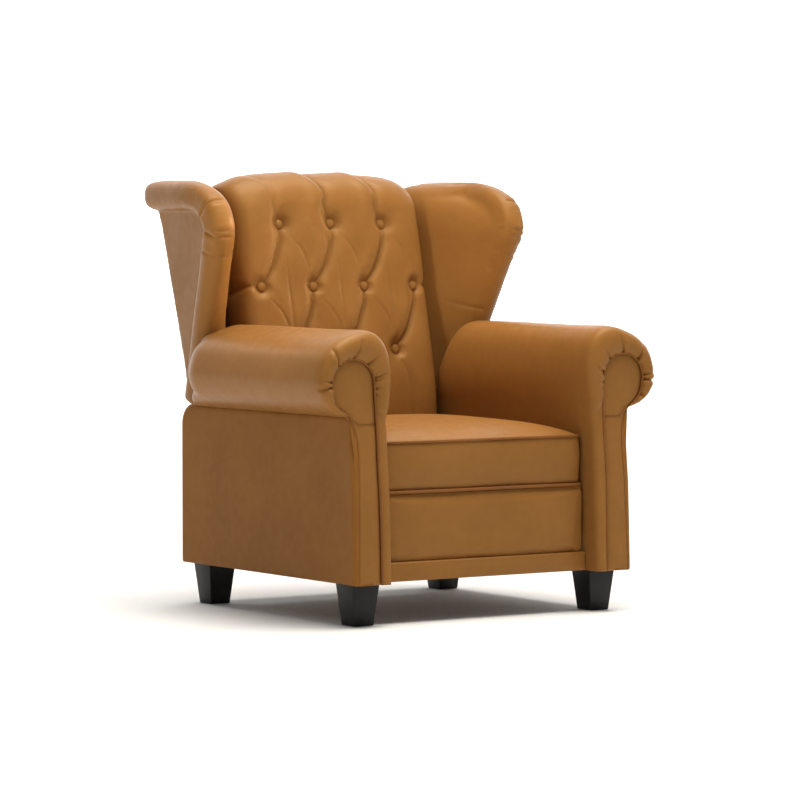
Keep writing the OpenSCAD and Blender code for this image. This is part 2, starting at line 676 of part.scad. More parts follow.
module seat_piping() {
    half = seat_half - 8;
    front = -seat_front - piping_r - 0.2;
    color("#9c6228") chair() for (z = [seat_z + piping_r + 1, seat_z + seat_h - 12])
        tube([[-half, front, z], [half, front, z]], piping_r, 8, [0, 0, 1]);
}

slot_half = pin_r + 0.4;
module right_seat_plate() {
    eye = shaft_r + 9;
    low = scissor_at[1] - 2 * drop - slot_half - 8;
    outline = [
        [scissor_at[0] - 14, seat_frame_top], [scissor_at[0] - 27, low + 20], [scissor_at[0] - 22, low],
        [scissor_at[0] + 12, low], [link_foot_at[0] - 30, link_foot_at[1] - eye],
        [link_foot_at[0] + eye, link_foot_at[1] - eye], [link_foot_at[0] + 24, seat_frame_z - 8],
        [pivot_y - 62, seat_frame_z - 8], [pivot_y + eye, seat_hinge_at[1] - 14],
        [pivot_y + eye, seat_hinge_at[1] + 8], [pivot_y + 6, seat_hinge_at[1] + eye],
        [pivot_y - 12, seat_hinge_at[1] + eye], [pivot_y - 96, seat_frame_top]];
    color("dimgray") chair() {
        difference() {
            plate(seat_plate_x, plate_t, outline);
            for (at = [seat_hinge_at, link_foot_at]) pin(seat_plate_x - 1, plate_t + 2, at, shaft_r + fit);
            roller_slot();
            for (at = seat_bolt_places) pin(seat_plate_x - 1, plate_t + 2, at, bolt_r + fit);
        }
        pin(outer_link_x - plate_gap / 2, plate_t + plate_gap * 1.5, scissor_at, pin_r);
    }
}
module left_seat_plate() { other_side() right_seat_plate(); }
module roller_slot() {
    ends = [scissor_at + across * slot_end, scissor_at + across * 2 * drop];
    for (at = ends) pin(seat_plate_x - 1, plate_t + 2, at, slot_half);
    translate([seat_plate_x - 1, ends[1][0] - slot_half, ends[1][1]])
        cube([plate_t + 2, 2 * slot_half, 2 * drop - slot_end]);
}
seat_bolt_places = [for (share = [-0.45, 0, 0.45]) [share * seat_front, seat_frame_z + seat_frame_h / 2]];
module seat_bolts() {
    color("silver") chair() for (side = [-1, 1], at = seat_bolt_places) scale([side, 1, 1])
        pin(seat_plate_x, plate_t, at, bolt_r);
}

// FRONT SWING LINKS
module right_front_link() {
    color("gray") chair() difference() {
        link_bar(swing_x, link_top_at, link_foot_at, swing_link_w);
        pin(swing_x - 1, plate_t + 2, link_top_at, shaft_r + fit);
    }
}
module left_front_link() { other_side() right_front_link(); }
module swing_tube() {
    color("silver") chair() pin(-swing_x, 2 * swing_x, link_foot_at, shaft_r);
}

// FOOTREST SCISSOR
// A link in the outer or inner plane, with holes at some places and pins at others
module scissor_link(x, from, to, holes, small_pins) {
    color("gray") chair() {
        difference() {
            link_bar(x, from, to, link_w);
            for (hole = holes) pin(x - 1, plate_t + 2, hole[0], hole[1] + fit);
        }
        for (p = small_pins) pin(p[1], p[2], p[0], pin_r);
    }
}
inner_pin_x = inner_link_x - plate_gap / 2;
inner_pin_length = outer_link_x - inner_pin_x;
outer_pin_x = inner_link_x + plate_t;
outer_pin_length = outer_link_x + plate_t - outer_pin_x + plate_gap / 2;
roller_length = seat_plate_x + plate_t - outer_pin_x;

module right_drive_link() {
    scissor_link(outer_link_x, scissor_at, scissor(2, 2), [[scissor_at, pin_r]],
        [[scissor(1, 1), inner_pin_x, inner_pin_length]]);
}
module left_drive_link() { other_side() right_drive_link(); }
module drive_tube() {
    color("silver") chair() pin(-outer_link_x, 2 * outer_link_x, scissor(2, 2), shaft_r);
}
module right_lower_link() {
    scissor_link(inner_link_x, scissor(0, 2), scissor(2, 0), [[scissor(1, 1), pin_r]],
        [[scissor(0, 2), outer_pin_x, roller_length], [scissor(2, 0), outer_pin_x, outer_pin_length]]);
}
module left_lower_link() { other_side() right_lower_link(); }
module right_middle_link() {
    scissor_link(inner_link_x, scissor(2, 2), scissor(4, 0), [[scissor(2, 2), shaft_r], [scissor(3, 1), pin_r]],
        [[scissor(4, 0), outer_pin_x, outer_pin_length]]);
}
module left_middle_link() { other_side() right_middle_link(); }
module right_upper_link() {
    scissor_link(outer_link_x, scissor(2, 0), scissor(4, 2), [[scissor(2, 0), pin_r]],
        [[scissor(3, 1), inner_pin_x, inner_pin_length], [scissor(4, 2), inner_pin_x, inner_pin_length]]);
}
module left_upper_link() { other_side() right_upper_link(); }
module right_short_link() {
    scissor_link(inner_link_x, scissor(4, 2), scissor(5, 1), [[scissor(4, 2), pin_r], [scissor(5, 1), pin_r]], []);
}
module left_short_link() { other_side() right_short_link(); }
module right_board_link() {
    back_off = [-board_dir[1], board_dir[0]] * 3;
    near = scissor(4, 0) + board_dir * half_link * 0.48 + back_off;
    far = scissor(4, 0) + board_dir * half_link * 1.72 + back_off;
    tab_top = pad_top - pad_h * 0.23;
    tab_low = pad_z + pad_h * 0.23;
    gusset_y = plate_t / 2 - footboard_rear;
    scissor_link(outer_link_x, scissor(4, 0), scissor(6, 2), [[scissor(4, 0), pin_r]],
        [[scissor(5, 1), inner_pin_x, inner_pin_length]]);
    color("gray") chair() {
        plate(outer_link_x + 0.5, plate_t - 1, [near, far, [gusset_y, tab_low + 4], [gusset_y, tab_top - 4]]);
        translate([outer_link_x - 20, -footboard_rear, tab_low])
            cube([20 + plate_t, plate_t, tab_top - tab_low]);
    }
}
module left_board_link() { other_side() right_board_link(); }
module footrest_board() {
    color("burlywood") chair() translate([12 - seat_half, -pad_front + pad_t, pad_z + 3])
        cube([2 * (seat_half - 12), footboard_t, pad_h - 9]);
}
module footrest_pad() {
    function pad_ring(x, k) = concat(
        [[x, -pad_front + pad_t, pad_z + 3 * (1 - k)], [x, -pad_front + pad_t, pad_top - 3 * (1 - k)]],
        [for (t = [1:-0.25:-1]) [x, -pad_front + pad_t - 1 - (pad_t - 1) * k * (1 - pow(abs(t), 6) * 0.6),
            (pad_z + pad_top) / 2 + t * (pad_h / 2 - 3 * (1 - k))]]);
    color("#b3752f") chair() loft([for (t = [-1, -0.985, -0.9, -0.5, 0, 0.5, 0.9, 0.985, 1])
        pad_ring(t * seat_half, sqrt(1 - pow(abs(t), 9)))]);
}

left_arm_frame();
right_arm_frame();
left_side_panel();
right_side_panel();
left_inner_panel();
right_inner_panel();
left_arm_roll();
right_arm_roll();
left_scroll_panel();
right_scroll_panel();
left_scroll_piping();
right_scroll_piping();
front_rail();
rear_rail();
front_left_foot();
front_right_foot();
rear_left_foot();
rear_right_foot();
foot_bolts();
left_base_bracket();
right_base_bracket();
bracket_bolts();
back_frame();
back_webbing();
back_cushion();
back_buttons();
outside_back_panel();
left_wing_frame();
right_wing_frame();
left_wing_pad();
right_wing_pad();
left_back_bracket();
right_back_bracket();
seat_frame();
seat_springs();
spring_clips();
seat_cushion();
seat_piping();
left_seat_plate();
right_seat_plate();
seat_bolts();
left_front_link();
right_front_link();
swing_tube();
left_drive_link();
right_drive_link();
drive_tube();
left_lower_link();
right_lower_link();
left_middle_link();
right_middle_link();
left_upper_link();
right_upper_link();
left_short_link();
right_short_link();
left_board_link();
right_board_link();
footrest_board();
footrest_pad();
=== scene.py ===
"""Looks of a push-back wing recliner in smooth caramel faux leather.

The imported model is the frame: every piece here sits where its solid sits. Sizes are in
millimetres from the chair's datum, which lies a little in front of the middle of its box,
and are turned to metres in the frame by one function.
"""

import logging
import math
from collections.abc import Callable, Sequence
from dataclasses import dataclass
from enum import Enum
from functools import cached_property

import bmesh
import bpy
import numpy as np
from mathutils import Euler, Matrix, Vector


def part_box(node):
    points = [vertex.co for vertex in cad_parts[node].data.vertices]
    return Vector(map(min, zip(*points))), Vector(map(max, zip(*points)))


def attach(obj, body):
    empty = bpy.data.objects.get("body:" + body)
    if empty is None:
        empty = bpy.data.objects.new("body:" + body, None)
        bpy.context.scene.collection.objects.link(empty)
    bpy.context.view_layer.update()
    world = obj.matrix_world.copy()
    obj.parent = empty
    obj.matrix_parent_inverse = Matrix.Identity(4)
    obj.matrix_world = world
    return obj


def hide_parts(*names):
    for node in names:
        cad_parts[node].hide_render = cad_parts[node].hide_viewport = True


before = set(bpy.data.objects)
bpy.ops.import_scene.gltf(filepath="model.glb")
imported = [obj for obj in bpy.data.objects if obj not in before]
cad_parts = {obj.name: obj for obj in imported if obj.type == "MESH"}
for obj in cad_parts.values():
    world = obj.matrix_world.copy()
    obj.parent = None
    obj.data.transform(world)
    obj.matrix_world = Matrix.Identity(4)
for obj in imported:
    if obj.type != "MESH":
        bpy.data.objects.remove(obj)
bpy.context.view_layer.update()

log = logging.getLogger("recliner")
logging.basicConfig(level=logging.INFO, format="%(message)s")

MM = 0.001
RAIL_FRONT = 350.0
DATUM_Y = -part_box("front_rail")[0].y / MM - RAIL_FRONT

# The underside of the arms and rails, over the floor.
UNDERSIDE = 95.0
# The back's rear face: its lean in degrees, where its foot is, and the top of its arch.
BACK_LEAN = 12.0
BACK_FOOT_Y = 374.0
BACK_FOOT_Z = 474.0
BACK_TOP = 996.0
# The outside of the back: half its width at the foot, how much it gains, and its sides' top.
OUTSIDE_HALF = 350.0
OUTSIDE_GAIN = 30.0
OUTSIDE_SIDE_TOP = 925.0

Points = np.ndarray


class Side(Enum):
    """The two sides of the chair, as seen from its front."""

    LEFT = -1
    RIGHT = 1

    @property
    def word(self) -> str:
        """The side's name, as the frame's nodes have it."""
        return self.name.lower()


# MESH HELPERS


def smooth_step(low: float, high: float, value: Points) -> Points:
    """A smooth rise from 0 to 1 as the value goes from low to high."""
    t = np.clip((np.asarray(value, float) - low) / (high - low), 0.0, 1.0)
    return t * t * (3.0 - 2.0 * t)


def spline(points: Sequence[Sequence[float]], steps: int) -> Points:
    """A smooth curve through points.

    Args:
        points: the points that it passes.
        steps: how many samples each stretch gets.

    Returns:
        The samples, the last point included.
    """
    p = np.asarray(points, float)
    ahead = np.vstack([[2 * p[0] - p[1]], p, [2 * p[-1] - p[-2]]])
    out = []
    for i in range(len(p) - 1):
        a, b, c, d = ahead[i:i + 4]
        for t in np.arange(steps) / steps:
            out.append(0.5 * (2 * b + (c - a) * t + (2 * a - 5 * b + 4 * c - d) * t ** 2
                              + (3 * b - a - 3 * c + d) * t ** 3))
    out.append(p[-1])
    return np.array(out)


def even(points: Points, count: int) -> Points:
    """The curve through points again, as count points at even distances.

    Args:
        points: the curve's points.
        count: how many points it gets.

    Returns:
        The new points.
    """
    run = np.concatenate([[0], np.cumsum(np.linalg.norm(np.diff(points, axis=0), axis=1))])
    at = np.linspace(0, run[-1], count)
    return np.stack([np.interp(at, run, points[:, k]) for k in range(points.shape[1])], axis=1)


def grid_normals(grid: Points) -> Points:
    """The unit normals of a grid of points, from its neighbours' differences.

    Args:
        grid: rows and columns of points.

    Returns:
        One unit normal for each point.
    """
    down = np.gradient(grid, axis=0)
    over = np.gradient(grid, axis=1)
    n = np.cross(over, down)
    return n / (np.linalg.norm(n, axis=2, keepdims=True) + 1e-9)


def run_along(grid: Points, axis: int) -> Points:
    """The distance from a grid's first row or column, measured along its surface.

    Args:
        grid: rows and columns of points.
        axis: 0 to go from row to row, 1 from column to column.

    Returns:
        The distance of each point.
    """
    step = np.linalg.norm(np.diff(grid, axis=axis), axis=2)
    first = np.zeros_like(np.take(step, [0], axis=axis))
    return np.concatenate([first, np.cumsum(step, axis=axis)], axis=axis)


def to_frame(points: Points) -> Points:
    """Points in millimetres from the datum, as metres in the frame."""
    return (np.asarray(points, float) - [0.0, DATUM_Y, 0.0]) * MM


def at_depth(section: Points, y: float | Points) -> Points:
    """A section's points, given across and up, set at one depth or at one each."""
    return np.column_stack([section[:, 0], np.broadcast_to(y, len(section)), section[:, 1]])


def swell(distance: Points, height: float, reach: float) -> Points:
    """A rise from an edge up to a height, most of it within the reach."""
    return height * (1 - np.exp(-np.clip(distance, 0, None) / reach))


def quarter_round(share: Points) -> Points:
    """A quarter circle's rise from 0 to 1 while the share goes from 0 to 1."""
    return np.sqrt(1 - (1 - np.clip(share, 0, 1)) ** 2)


def linked(name: str, data: bpy.types.ID) -> bpy.types.Object:
    """A new object of the scene, made of its data.

    Args:
        name: its name.
        data: its mesh, light or camera.

    Returns:
        The object, at the origin.
    """
    made = bpy.data.objects.new(name, data)
    bpy.context.scene.collection.objects.link(made)
    return made


def aimed(direction: Vector) -> Euler:
    """The rotation that turns a lamp or the camera to look along a direction."""
    return direction.to_track_quat("-Z", "Y").to_euler()


def shade_smooth(mesh: bpy.types.Mesh) -> None:
    """Shades every face of a mesh smooth."""
    mesh.polygons.foreach_set("use_smooth", [True] * len(mesh.polygons))


def face_outwards(mesh: bpy.types.Mesh) -> None:
    """Turns a mesh's faces outwards and shades them smooth.

    Args:
        mesh: the mesh, which is changed.
    """
    bm = bmesh.new()
    bm.from_mesh(mesh)
    bmesh.ops.recalc_face_normals(bm, faces=bm.faces)
    bm.to_mesh(mesh)
    bm.free()
    shade_smooth(mesh)


def mesh_object(name: str, points: Points, faces: list[tuple[int, ...]]) -> bpy.types.Object:
    """A new smooth object with its faces turned outwards.

    Args:
        name: the piece's name.
        points: its points, in millimetres from the datum.
        faces: the corners of each face.

    Returns:
        The object, at the origin.
    """
    mesh = bpy.data.meshes.new(name)
    mesh.from_pydata(to_frame(points).tolist(), [], faces)
    face_outwards(mesh)
    return linked(name, mesh)


def skin(name: str, rings: Points, side: Side = Side.RIGHT) -> bpy.types.Object:
    """A closed skin over rings of points, each end closed round its middle.

    Args:
        name: the piece's name.
        rings: rings of points, in millimetres, drawn for the right-hand side.
        side: the side that the piece is on.

    Returns:
        The object.
    """
    rings = np.asarray(rings, float) * [side.value, 1, 1]
    m, n, _ = rings.shape
    points = np.vstack([rings.reshape(-1, 3), rings[0].mean(0), rings[-1].mean(0)])
    faces = [(i * n + j, i * n + (j + 1) % n, (i + 1) * n + (j + 1) % n, (i + 1) * n + j)
             for i in range(m - 1) for j in range(n)]
    faces += [(m * n, (j + 1) % n, j) for j in range(n)]
    faces += [(m * n + 1, (m - 1) * n + j, (m - 1) * n + (j + 1) % n) for j in range(n)]
    return mesh_object(name, points, faces)


def tube(path: Points, radius: float | Points, sides: int = 12, power: float = 2.0) -> Points:
    """Rings round a path that doesn't cross itself.

    Args:
        path: the points of the tube's middle line, in millimetres.
        radius: its radius, one or one for each point.
        sides: points in a ring.
        power: 2 for a round section, more for a squarer one.

    Returns:
        The rings, for skin.
    """
    path = np.asarray(path, float)
    size = np.broadcast_to(radius, len(path))
    ahead = np.gradient(path, axis=0)
    ahead /= np.linalg.norm(ahead, axis=1, keepdims=True)
    centre = path.mean(0)
    flat = np.linalg.svd(path - centre)[2][2]
    side = np.cross(ahead, flat)
    side /= np.linalg.norm(side, axis=1, keepdims=True)
    over = np.cross(side, ahead)
    a = np.arange(sides) * 2 * math.pi / sides
    c, s = np.cos(a), np.sin(a)
    out = (np.abs(c) ** power + np.abs(s) ** power) ** (-1 / power)
    return np.array([p + r * out[:, None] * (c[:, None] * u + s[:, None] * v)
                     for p, r, u, v in zip(path, size, side, over)])


def join(name: str, parts: list[bpy.types.Object]) -> bpy.types.Object:
    """Several objects as one, under a new name.

    Args:
        name: the new name.
        parts: the objects, of which the first stays.

    Returns:
        The joined object.
    """
    bpy.ops.object.select_all(action="DESELECT")
    for part in parts:
        part.select_set(True)
    bpy.context.view_layer.objects.active = parts[0]
    bpy.ops.object.join()
    parts[0].name = parts[0].data.name = name
    return parts[0]


def select_only(piece: bpy.types.Object) -> None:
    """Selects one piece and makes it the active one.

    Args:
        piece: the piece.
    """
    bpy.ops.object.select_all(action="DESELECT")
    piece.select_set(True)
    bpy.context.view_layer.objects.active = piece


def apply_modifier(piece: bpy.types.Object, kind: str, **settings: object) -> None:
    """Adds one modifier to a piece, sets it and applies it.

    Args:
        piece: the piece.
        kind: the modifier's type.
        settings: its properties.
    """
    select_only(piece)
    modifier = piece.modifiers.new(kind.lower(), kind)
    for key, value in settings.items():
        setattr(modifier, key, value)
    bpy.ops.object.modifier_apply(modifier=modifier.name)


def add_group(piece: bpy.types.Object, name: str, weights: Points) -> None:
    """Gives a piece a vertex group, of the points that weigh more than nearly nothing.

    Args:
        piece: the piece.
        name: the group's name.
        weights: each point's weight, from 0 to 1.
    """
    group = piece.vertex_groups.new(name=name)
    for index in np.nonzero(weights > 0.01)[0]:
        group.add([int(index)], float(weights[index]), "REPLACE")


def points_of(piece: bpy.types.Object) -> Points:
    """A piece's points, in millimetres from the datum.

    Args:
        piece: the piece.

    Returns:
        One row for each point.
    """
    co = np.zeros(len(piece.data.vertices) * 3)
    piece.data.vertices.foreach_get("co", co)
    return co.reshape(-1, 3) / MM + [0.0, DATUM_Y, 0.0]


def set_points(piece: bpy.types.Object, points: Points) -> None:
    """Moves a piece's points to places in millimetres from the datum."""
    piece.data.vertices.foreach_set("co", to_frame(points).ravel())
    piece.data.update()


def normals_of(piece: bpy.types.Object) -> Points:
    """The unit normals at a piece's points.

    Args:
        piece: the piece.

    Returns:
        One row for each point.
    """
    n = np.zeros(len(piece.data.vertices) * 3)
    piece.data.vertices.foreach_get("normal", n)
    return n.reshape(-1, 3)


def remesh(piece: bpy.types.Object, voxel: float, relax: int) -> None:
    """Turns a piece into one even closed mesh.

    Args:
        piece: the object, of one or more closed shells.
        voxel: the size of a voxel, in millimetres.
        relax: how many rounds of smoothing follow.
    """
    apply_modifier(piece, "REMESH", mode="VOXEL", voxel_size=voxel * MM, use_smooth_shade=True)
    apply_modifier(piece, "SMOOTH", factor=0.5, iterations=relax)


def subdivide(piece: bpy.types.Object) -> None:
    """Divides each face of a piece in four and smooths them."""
    apply_modifier(piece, "SUBSURF", levels=1, render_levels=1)


def eased_box(name: str, shape: Callable[[Points], Points], ease: float, segments: int) -> bpy.types.Object:
    """A new box with rounded edges.

    Args:
        name: the piece's name.
        shape: turns the corners of a cube of size 1 into points in millimetres.
        ease: how wide its edges are eased, in millimetres.
        segments: how many faces round each edge.

    Returns:
        The piece.
    """
    bpy.ops.object.select_all(action="DESELECT")
    bpy.ops.mesh.primitive_cube_add(size=1)
    piece = bpy.context.object
    piece.name = piece.data.name = name
    set_points(piece, shape(np.array([v.co for v in piece.data.vertices])))
    bpy.ops.object.mode_set(mode="EDIT")
    bpy.ops.mesh.select_all(action="SELECT")
    bpy.ops.mesh.bevel(offset=ease * MM, segments=segments, affect="EDGES")
    bpy.ops.mesh.normals_make_consistent(inside=False)
    bpy.ops.object.mode_set(mode="OBJECT")
    bpy.ops.object.shade_smooth_by_angle(angle=math.radians(40))
    return piece


def inflate(piece: bpy.types.Object, cap: float, held: Points, pressure: float) -> None:
    """Fills a cover with a short cloth simulation, and applies it.

    Args:
        piece: the closed cover.
        cap: the furthest that a point may move, in millimetres.
        held: how firmly each point is held, from 0 to 1, such as along a seam.
        pressure: the filling's pressure.
    """
    rest = points_of(piece)
    add_group(piece, "held", held)
    select_only(piece)
    cloth = piece.modifiers.new("filling", "CLOTH")
    cloth.settings.use_pressure = True
    cloth.settings.uniform_pressure_force = pressure
    cloth.settings.quality = 4
    cloth.settings.mass = 0.4
    cloth.settings.vertex_group_mass = "held"
    cloth.settings.effector_weights.gravity = 0.0
    steps = 20
    cloth.point_cache.frame_start = 1
    cloth.point_cache.frame_end = steps
    for step in range(1, steps + 1):
        bpy.context.scene.frame_set(step)
    bpy.ops.object.modifier_apply(modifier=cloth.name)
    bpy.context.scene.frame_set(1)
    moved = points_of(piece) - rest
    far = np.linalg.norm(moved, axis=1, keepdims=True)
    set_points(piece, rest + moved * np.minimum(1.0, cap * np.tanh(far / cap) / (far + 1e-9)))
    piece.vertex_groups.remove(piece.vertex_groups["held"])


@dataclass(frozen=True)
class Fold:
    """A crease in stretched leather, along points in a surface's own millimetres.

    Looking along the path, the leather on its left is full and drops steeply into it, and
    the leather on its right comes up gently.
    """

    path: tuple[tuple[float, float], ...]
    depth: float
    steep: float = 7.0
    gentle: float = 26.0
    lip: float = 0.3
    fade: float = 0.0

    def sink(self, u: Points, v: Points) -> Points:
        """How deep the crease draws in each place.

        Args:
            u: first coordinate of each place.
            v: second coordinate of each place.

        Returns:
            The depth in millimetres, 0 far from the crease and below 0 on the full lip.
        """
        line = even(spline(self.path, 8), 14)
        best = np.full(u.shape, 1e9)
        side = np.zeros(u.shape)
        share = np.zeros(u.shape)
        for k, ((ax, ay), (bx, by)) in enumerate(zip(line, line[1:])):
            dx, dy = bx - ax, by - ay
            length = math.hypot(dx, dy)
            t = np.clip(((u - ax) * dx + (v - ay) * dy) / length ** 2, 0.0, 1.0)
            away = np.hypot(u - ax - t * dx, v - ay - t * dy)
            nearer = away < best
            best = np.where(nearer, away, best)
            side = np.where(nearer, ((u - ax) * dy - (v - ay) * dx) / length, side)
            share = np.where(nearer, (k + t) / (len(line) - 1), share)
        left = 0.85 * np.exp(-best / self.steep) + 0.15 * np.exp(-best / 22) \
            - self.lip * np.exp(-((best - 27) / 17) ** 2)
        right = 0.5 * np.exp(-best / 7.0) + 0.5 * np.exp(-best / self.gentle)
        turn = smooth_step(-1.0, 1.0, side / (best + 1.2))
        return self.depth * (left + (right - left) * turn) * (1 - self.fade * share)


# FINISHES


def linear(colour: str) -> tuple[float, float, float, float]:
    """An sRGB hex colour, such as b0752f, as linear red, green, blue and alpha."""
    values = [int(colour[i:i + 2], 16) / 255 for i in (0, 2, 4)]
    return (*[v / 12.92 if v <= 0.04045 else ((v + 0.055) / 1.055) ** 2.4 for v in values], 1.0)


@dataclass
class Shading:
    """A new material's nodes: patterns on Object coordinates, and the shader that they feed.

    Object coordinates are in metres, so a pattern's scale is 1000 over its size in
    millimetres.
    """

    name: str

    def __post_init__(self) -> None:
        """Opens the material."""
        self.material = bpy.data.materials.new(self.name)
        self.material.use_nodes = True
        self.tree = self.material.node_tree

    def feed(self, node: bpy.types.Node, links: dict[str, object]) -> None:
        """Gives inputs of a node, by name or number, the socket that feeds each, or its value.

        Args:
            node: the node.
            links: the socket or value for each input.
        """
        for key, value in links.items():
            socket = node.inputs[int(key) if key.isdigit() else key]
            if isinstance(value, bpy.types.NodeSocket):
                self.tree.links.new(value, socket)
            else:
                socket.default_value = value

    def add(self, kind: str, links: dict[str, object] | None = None, **settings: object) -> bpy.types.Node:
        """Adds one shader node.

        Args:
            kind: the node's type, without its ShaderNode.
            links: for each input, the socket that feeds it, or its value.
            settings: the node's own properties.

        Returns:
            The node.
        """
        node = self.tree.nodes.new("ShaderNode" + kind)
        for key, value in settings.items():
            setattr(node, key, value)
        self.feed(node, links or {})
        return node

    @cached_property
    def place(self) -> bpy.types.NodeSocket:
        """The Object coordinates."""
        return self.add("TexCoord").outputs["Object"]

    def noise(self, size: float, detail: float) -> bpy.types.NodeSocket:
        """A noise of patches, of a size in millimetres."""
        links = {"Vector": self.place, "Scale": 1000 / size, "Detail": detail}
        return self.add("TexNoise", links).outputs["Fac"]

    def ranged(self, value: bpy.types.NodeSocket, span: tuple[float, float],
               to: tuple[float, float]) -> bpy.types.NodeSocket:
        """A span of values turned into another one."""
        return self.add("MapRange", {"Value": value, "From Min": span[0], "From Max": span[1],
                                     "To Min": to[0], "To Max": to[1]}).outputs["Result"]

    def mixed(self, factor: bpy.types.NodeSocket, first: str, second: str) -> bpy.types.NodeSocket:
        """Two hex colours mixed by a factor."""
        links = {"Factor": factor, "6": linear(first), "7": linear(second)}
        return self.add("Mix", links, data_type="RGBA").outputs[2]

    def bumped(self, height: bpy.types.NodeSocket, strength: float, depth: float,
               **under: bpy.types.NodeSocket) -> bpy.types.NodeSocket:
        """A relief of a depth in millimetres, on the Normal under it if one is given."""
        links = {"Height": height, "Strength": strength, "Distance": depth * MM, **under}
        return self.add("Bump", links).outputs["Normal"]

    def finish(self, inputs: dict[str, object]) -> bpy.types.Material:
        """Feeds the shader's inputs, and hands over the material."""
        self.feed(self.tree.nodes["Principled BSDF"], inputs)
        return self.material


@dataclass(frozen=True)
class Leather:
    """Polyurethane faux leather, coated on knit and embossed with a fine pebble grain.

    The coating gives a soft broad sheen, the embossing breaks it up, and the colour is
    a little darker in soft clouds. Pattern sizes are in millimetres.
    """

    name: str
    colour: str
    shade: str
    roughness: float = 0.46
    grain: float = 2.4
    relief: float = 0.12
    sheen_level: float = 0.24
    cloud: float = 180.0
    mottle: float = 22.0
    tint: str = "f6dca4"

    def material(self) -> bpy.types.Material:
        """The finish as a material on Object coordinates.

        Returns:
            The material.
        """
        made = Shading(self.name)
        cloud = made.noise(self.cloud, 3.0)
        mottle = made.noise(self.mottle, 4.0)
        pebble = made.add("TexVoronoi", {"Vector": made.place, "Scale": 1000 / self.grain},
                          feature="SMOOTH_F1").outputs["Distance"]
        tone = made.ranged(cloud, (0.3, 0.7), (0.0, 0.55))
        speck = made.ranged(mottle, (0.35, 0.65), (-0.12, 0.12))
        both = made.add("Math", {"0": tone, "1": speck}, operation="ADD", use_clamp=True)
        colour = made.mixed(both.outputs["Value"], self.colour, self.shade)
        gloss = made.ranged(mottle, (0.3, 0.7), (self.roughness - 0.05, self.roughness + 0.06))
        soft = made.bumped(mottle, 0.10, 2.0)
        fine = made.bumped(pebble, self.relief, 0.6, Normal=soft)
        return made.finish({"Base Color": colour, "Roughness": gloss, "Normal": fine, "IOR": 1.48,
                            "Specular IOR Level": self.sheen_level, "Specular Tint": linear(self.tint)})


@dataclass(frozen=True)
class Wood:
    """Sawn or stained wood with a grain along one axis, its years apart in millimetres."""

    name: str
    light: str
    dark: str
    roughness: float
    along: int
    year: float = 6.0
    coat: float = 0.0
    stretch: float = 0.06

    def material(self) -> bpy.types.Material:
        """The finish as a material on Object coordinates.

        Returns:
            The material.
        """
        made = Shading(self.name)
        pull = [1.0, 1.0, 1.0]
        pull[self.along] = self.stretch
        stretched = made.add("Mapping", {"Vector": made.place, "Scale": pull}).outputs["Vector"]
        rings = made.add("TexNoise", {"Vector": stretched, "Scale": 1000 / self.year, "Detail": 5.0,
                                      "Distortion": 0.4}).outputs["Fac"]
        colour = made.mixed(rings, self.light, self.dark)
        relief = made.bumped(rings, 0.15, 0.5)
        wear = made.ranged(rings, (0.0, 1.0), (self.roughness - 0.06, self.roughness + 0.06))
        return made.finish({"Base Color": colour, "Normal": relief, "Roughness": wear,
                            "Specular IOR Level": 0.25, "Coat Weight": self.coat, "Coat Roughness": 0.25})


@dataclass(frozen=True)
class Metal:
    """Steel, zinc plated or powder coated: fine scratches or a fine orange peel."""

    name: str
    colour: str
    metallic: float
    roughness: float
    grit: float

    def material(self) -> bpy.types.Material:
        """The finish as a material on Object coordinates.

        Returns:
            The material.
        """
        made = Shading(self.name)
        rough = made.noise(self.grit, 3.0)
        gloss = made.ranged(rough, (0.0, 1.0), (self.roughness - 0.08, self.roughness + 0.08))
        peel = made.bumped(rough, 0.08, 0.3)
        return made.finish({"Roughness": gloss, "Normal": peel, "Base Color": linear(self.colour),
                            "Metallic": self.metallic})


@dataclass(frozen=True)
class Webbing:
    """Woven polypropylene strap, 50 mm wide, with fine ribs across it.

    The wave pattern repeats every 2 pi / 20 over its scale in metres: 1.26 mm here.
    """

    name: str = "woven_webbing"
    colour: str = "1c1b1a"
    rib_scale: float = 250.0

    def material(self) -> bpy.types.Material:
        """The finish as a material on Object coordinates.

        Returns:
            The material.
        """
        made = Shading(self.name)
        rib = made.add("TexWave", {"Vector": made.place, "Scale": self.rib_scale, "Distortion": 0.3},
                       bands_direction="X").outputs["Fac"]
        relief = made.bumped(rib, 0.5, 0.6)
        return made.finish({"Normal": relief, "Base Color": linear(self.colour), "Roughness": 0.8})


class Finish(Enum):
    """The finishes of the chair."""

    COVER = Leather("smooth_faux_leather", "906131", "815729", roughness=0.38)
    # A darker, less glossy copy of the cover's leather for the arms' outer sides, their rear edges and the
    # outside back: painted shade where less light falls, not a different leather.
    FLAT = Leather("matt_faux_leather_painted_shade", "8c5c2b", "7d5224", roughness=0.50, sheen_level=0.10)
    WELT = Leather("faux_leather_piping", "83522a", "734823", roughness=0.42, relief=0.06)
    FOOT = Wood("black_stained_beech", "0e0d0c", "070707", 0.45, along=2, coat=0.08)
    PLYWOOD = Wood("birch_plywood", "cda877", "b48a58", 0.62, along=1)
    ZINC = Metal("zinc_plated_steel", "b9bbbd", 1.0, 0.34, 1.2)
    POWDER = Metal("black_powder_coat", "1b1b1c", 0.0, 0.48, 0.8)
    STRAP = Webbing()

    @property
    def slot(self) -> str:
        """The record's material slot that the finish stands for.

        Returns:
            The slot's name.
        """
        slots = {"COVER": "faux_leather", "FLAT": "faux_leather", "WELT": "piping",
                 "FOOT": "black_stained_wood", "PLYWOOD": "plywood", "ZINC": "zinc_plated_steel",
                 "POWDER": "steel_plate", "STRAP": "webbing"}
        return slots[self.name]


made_finishes: dict[Finish, bpy.types.Material] = {}


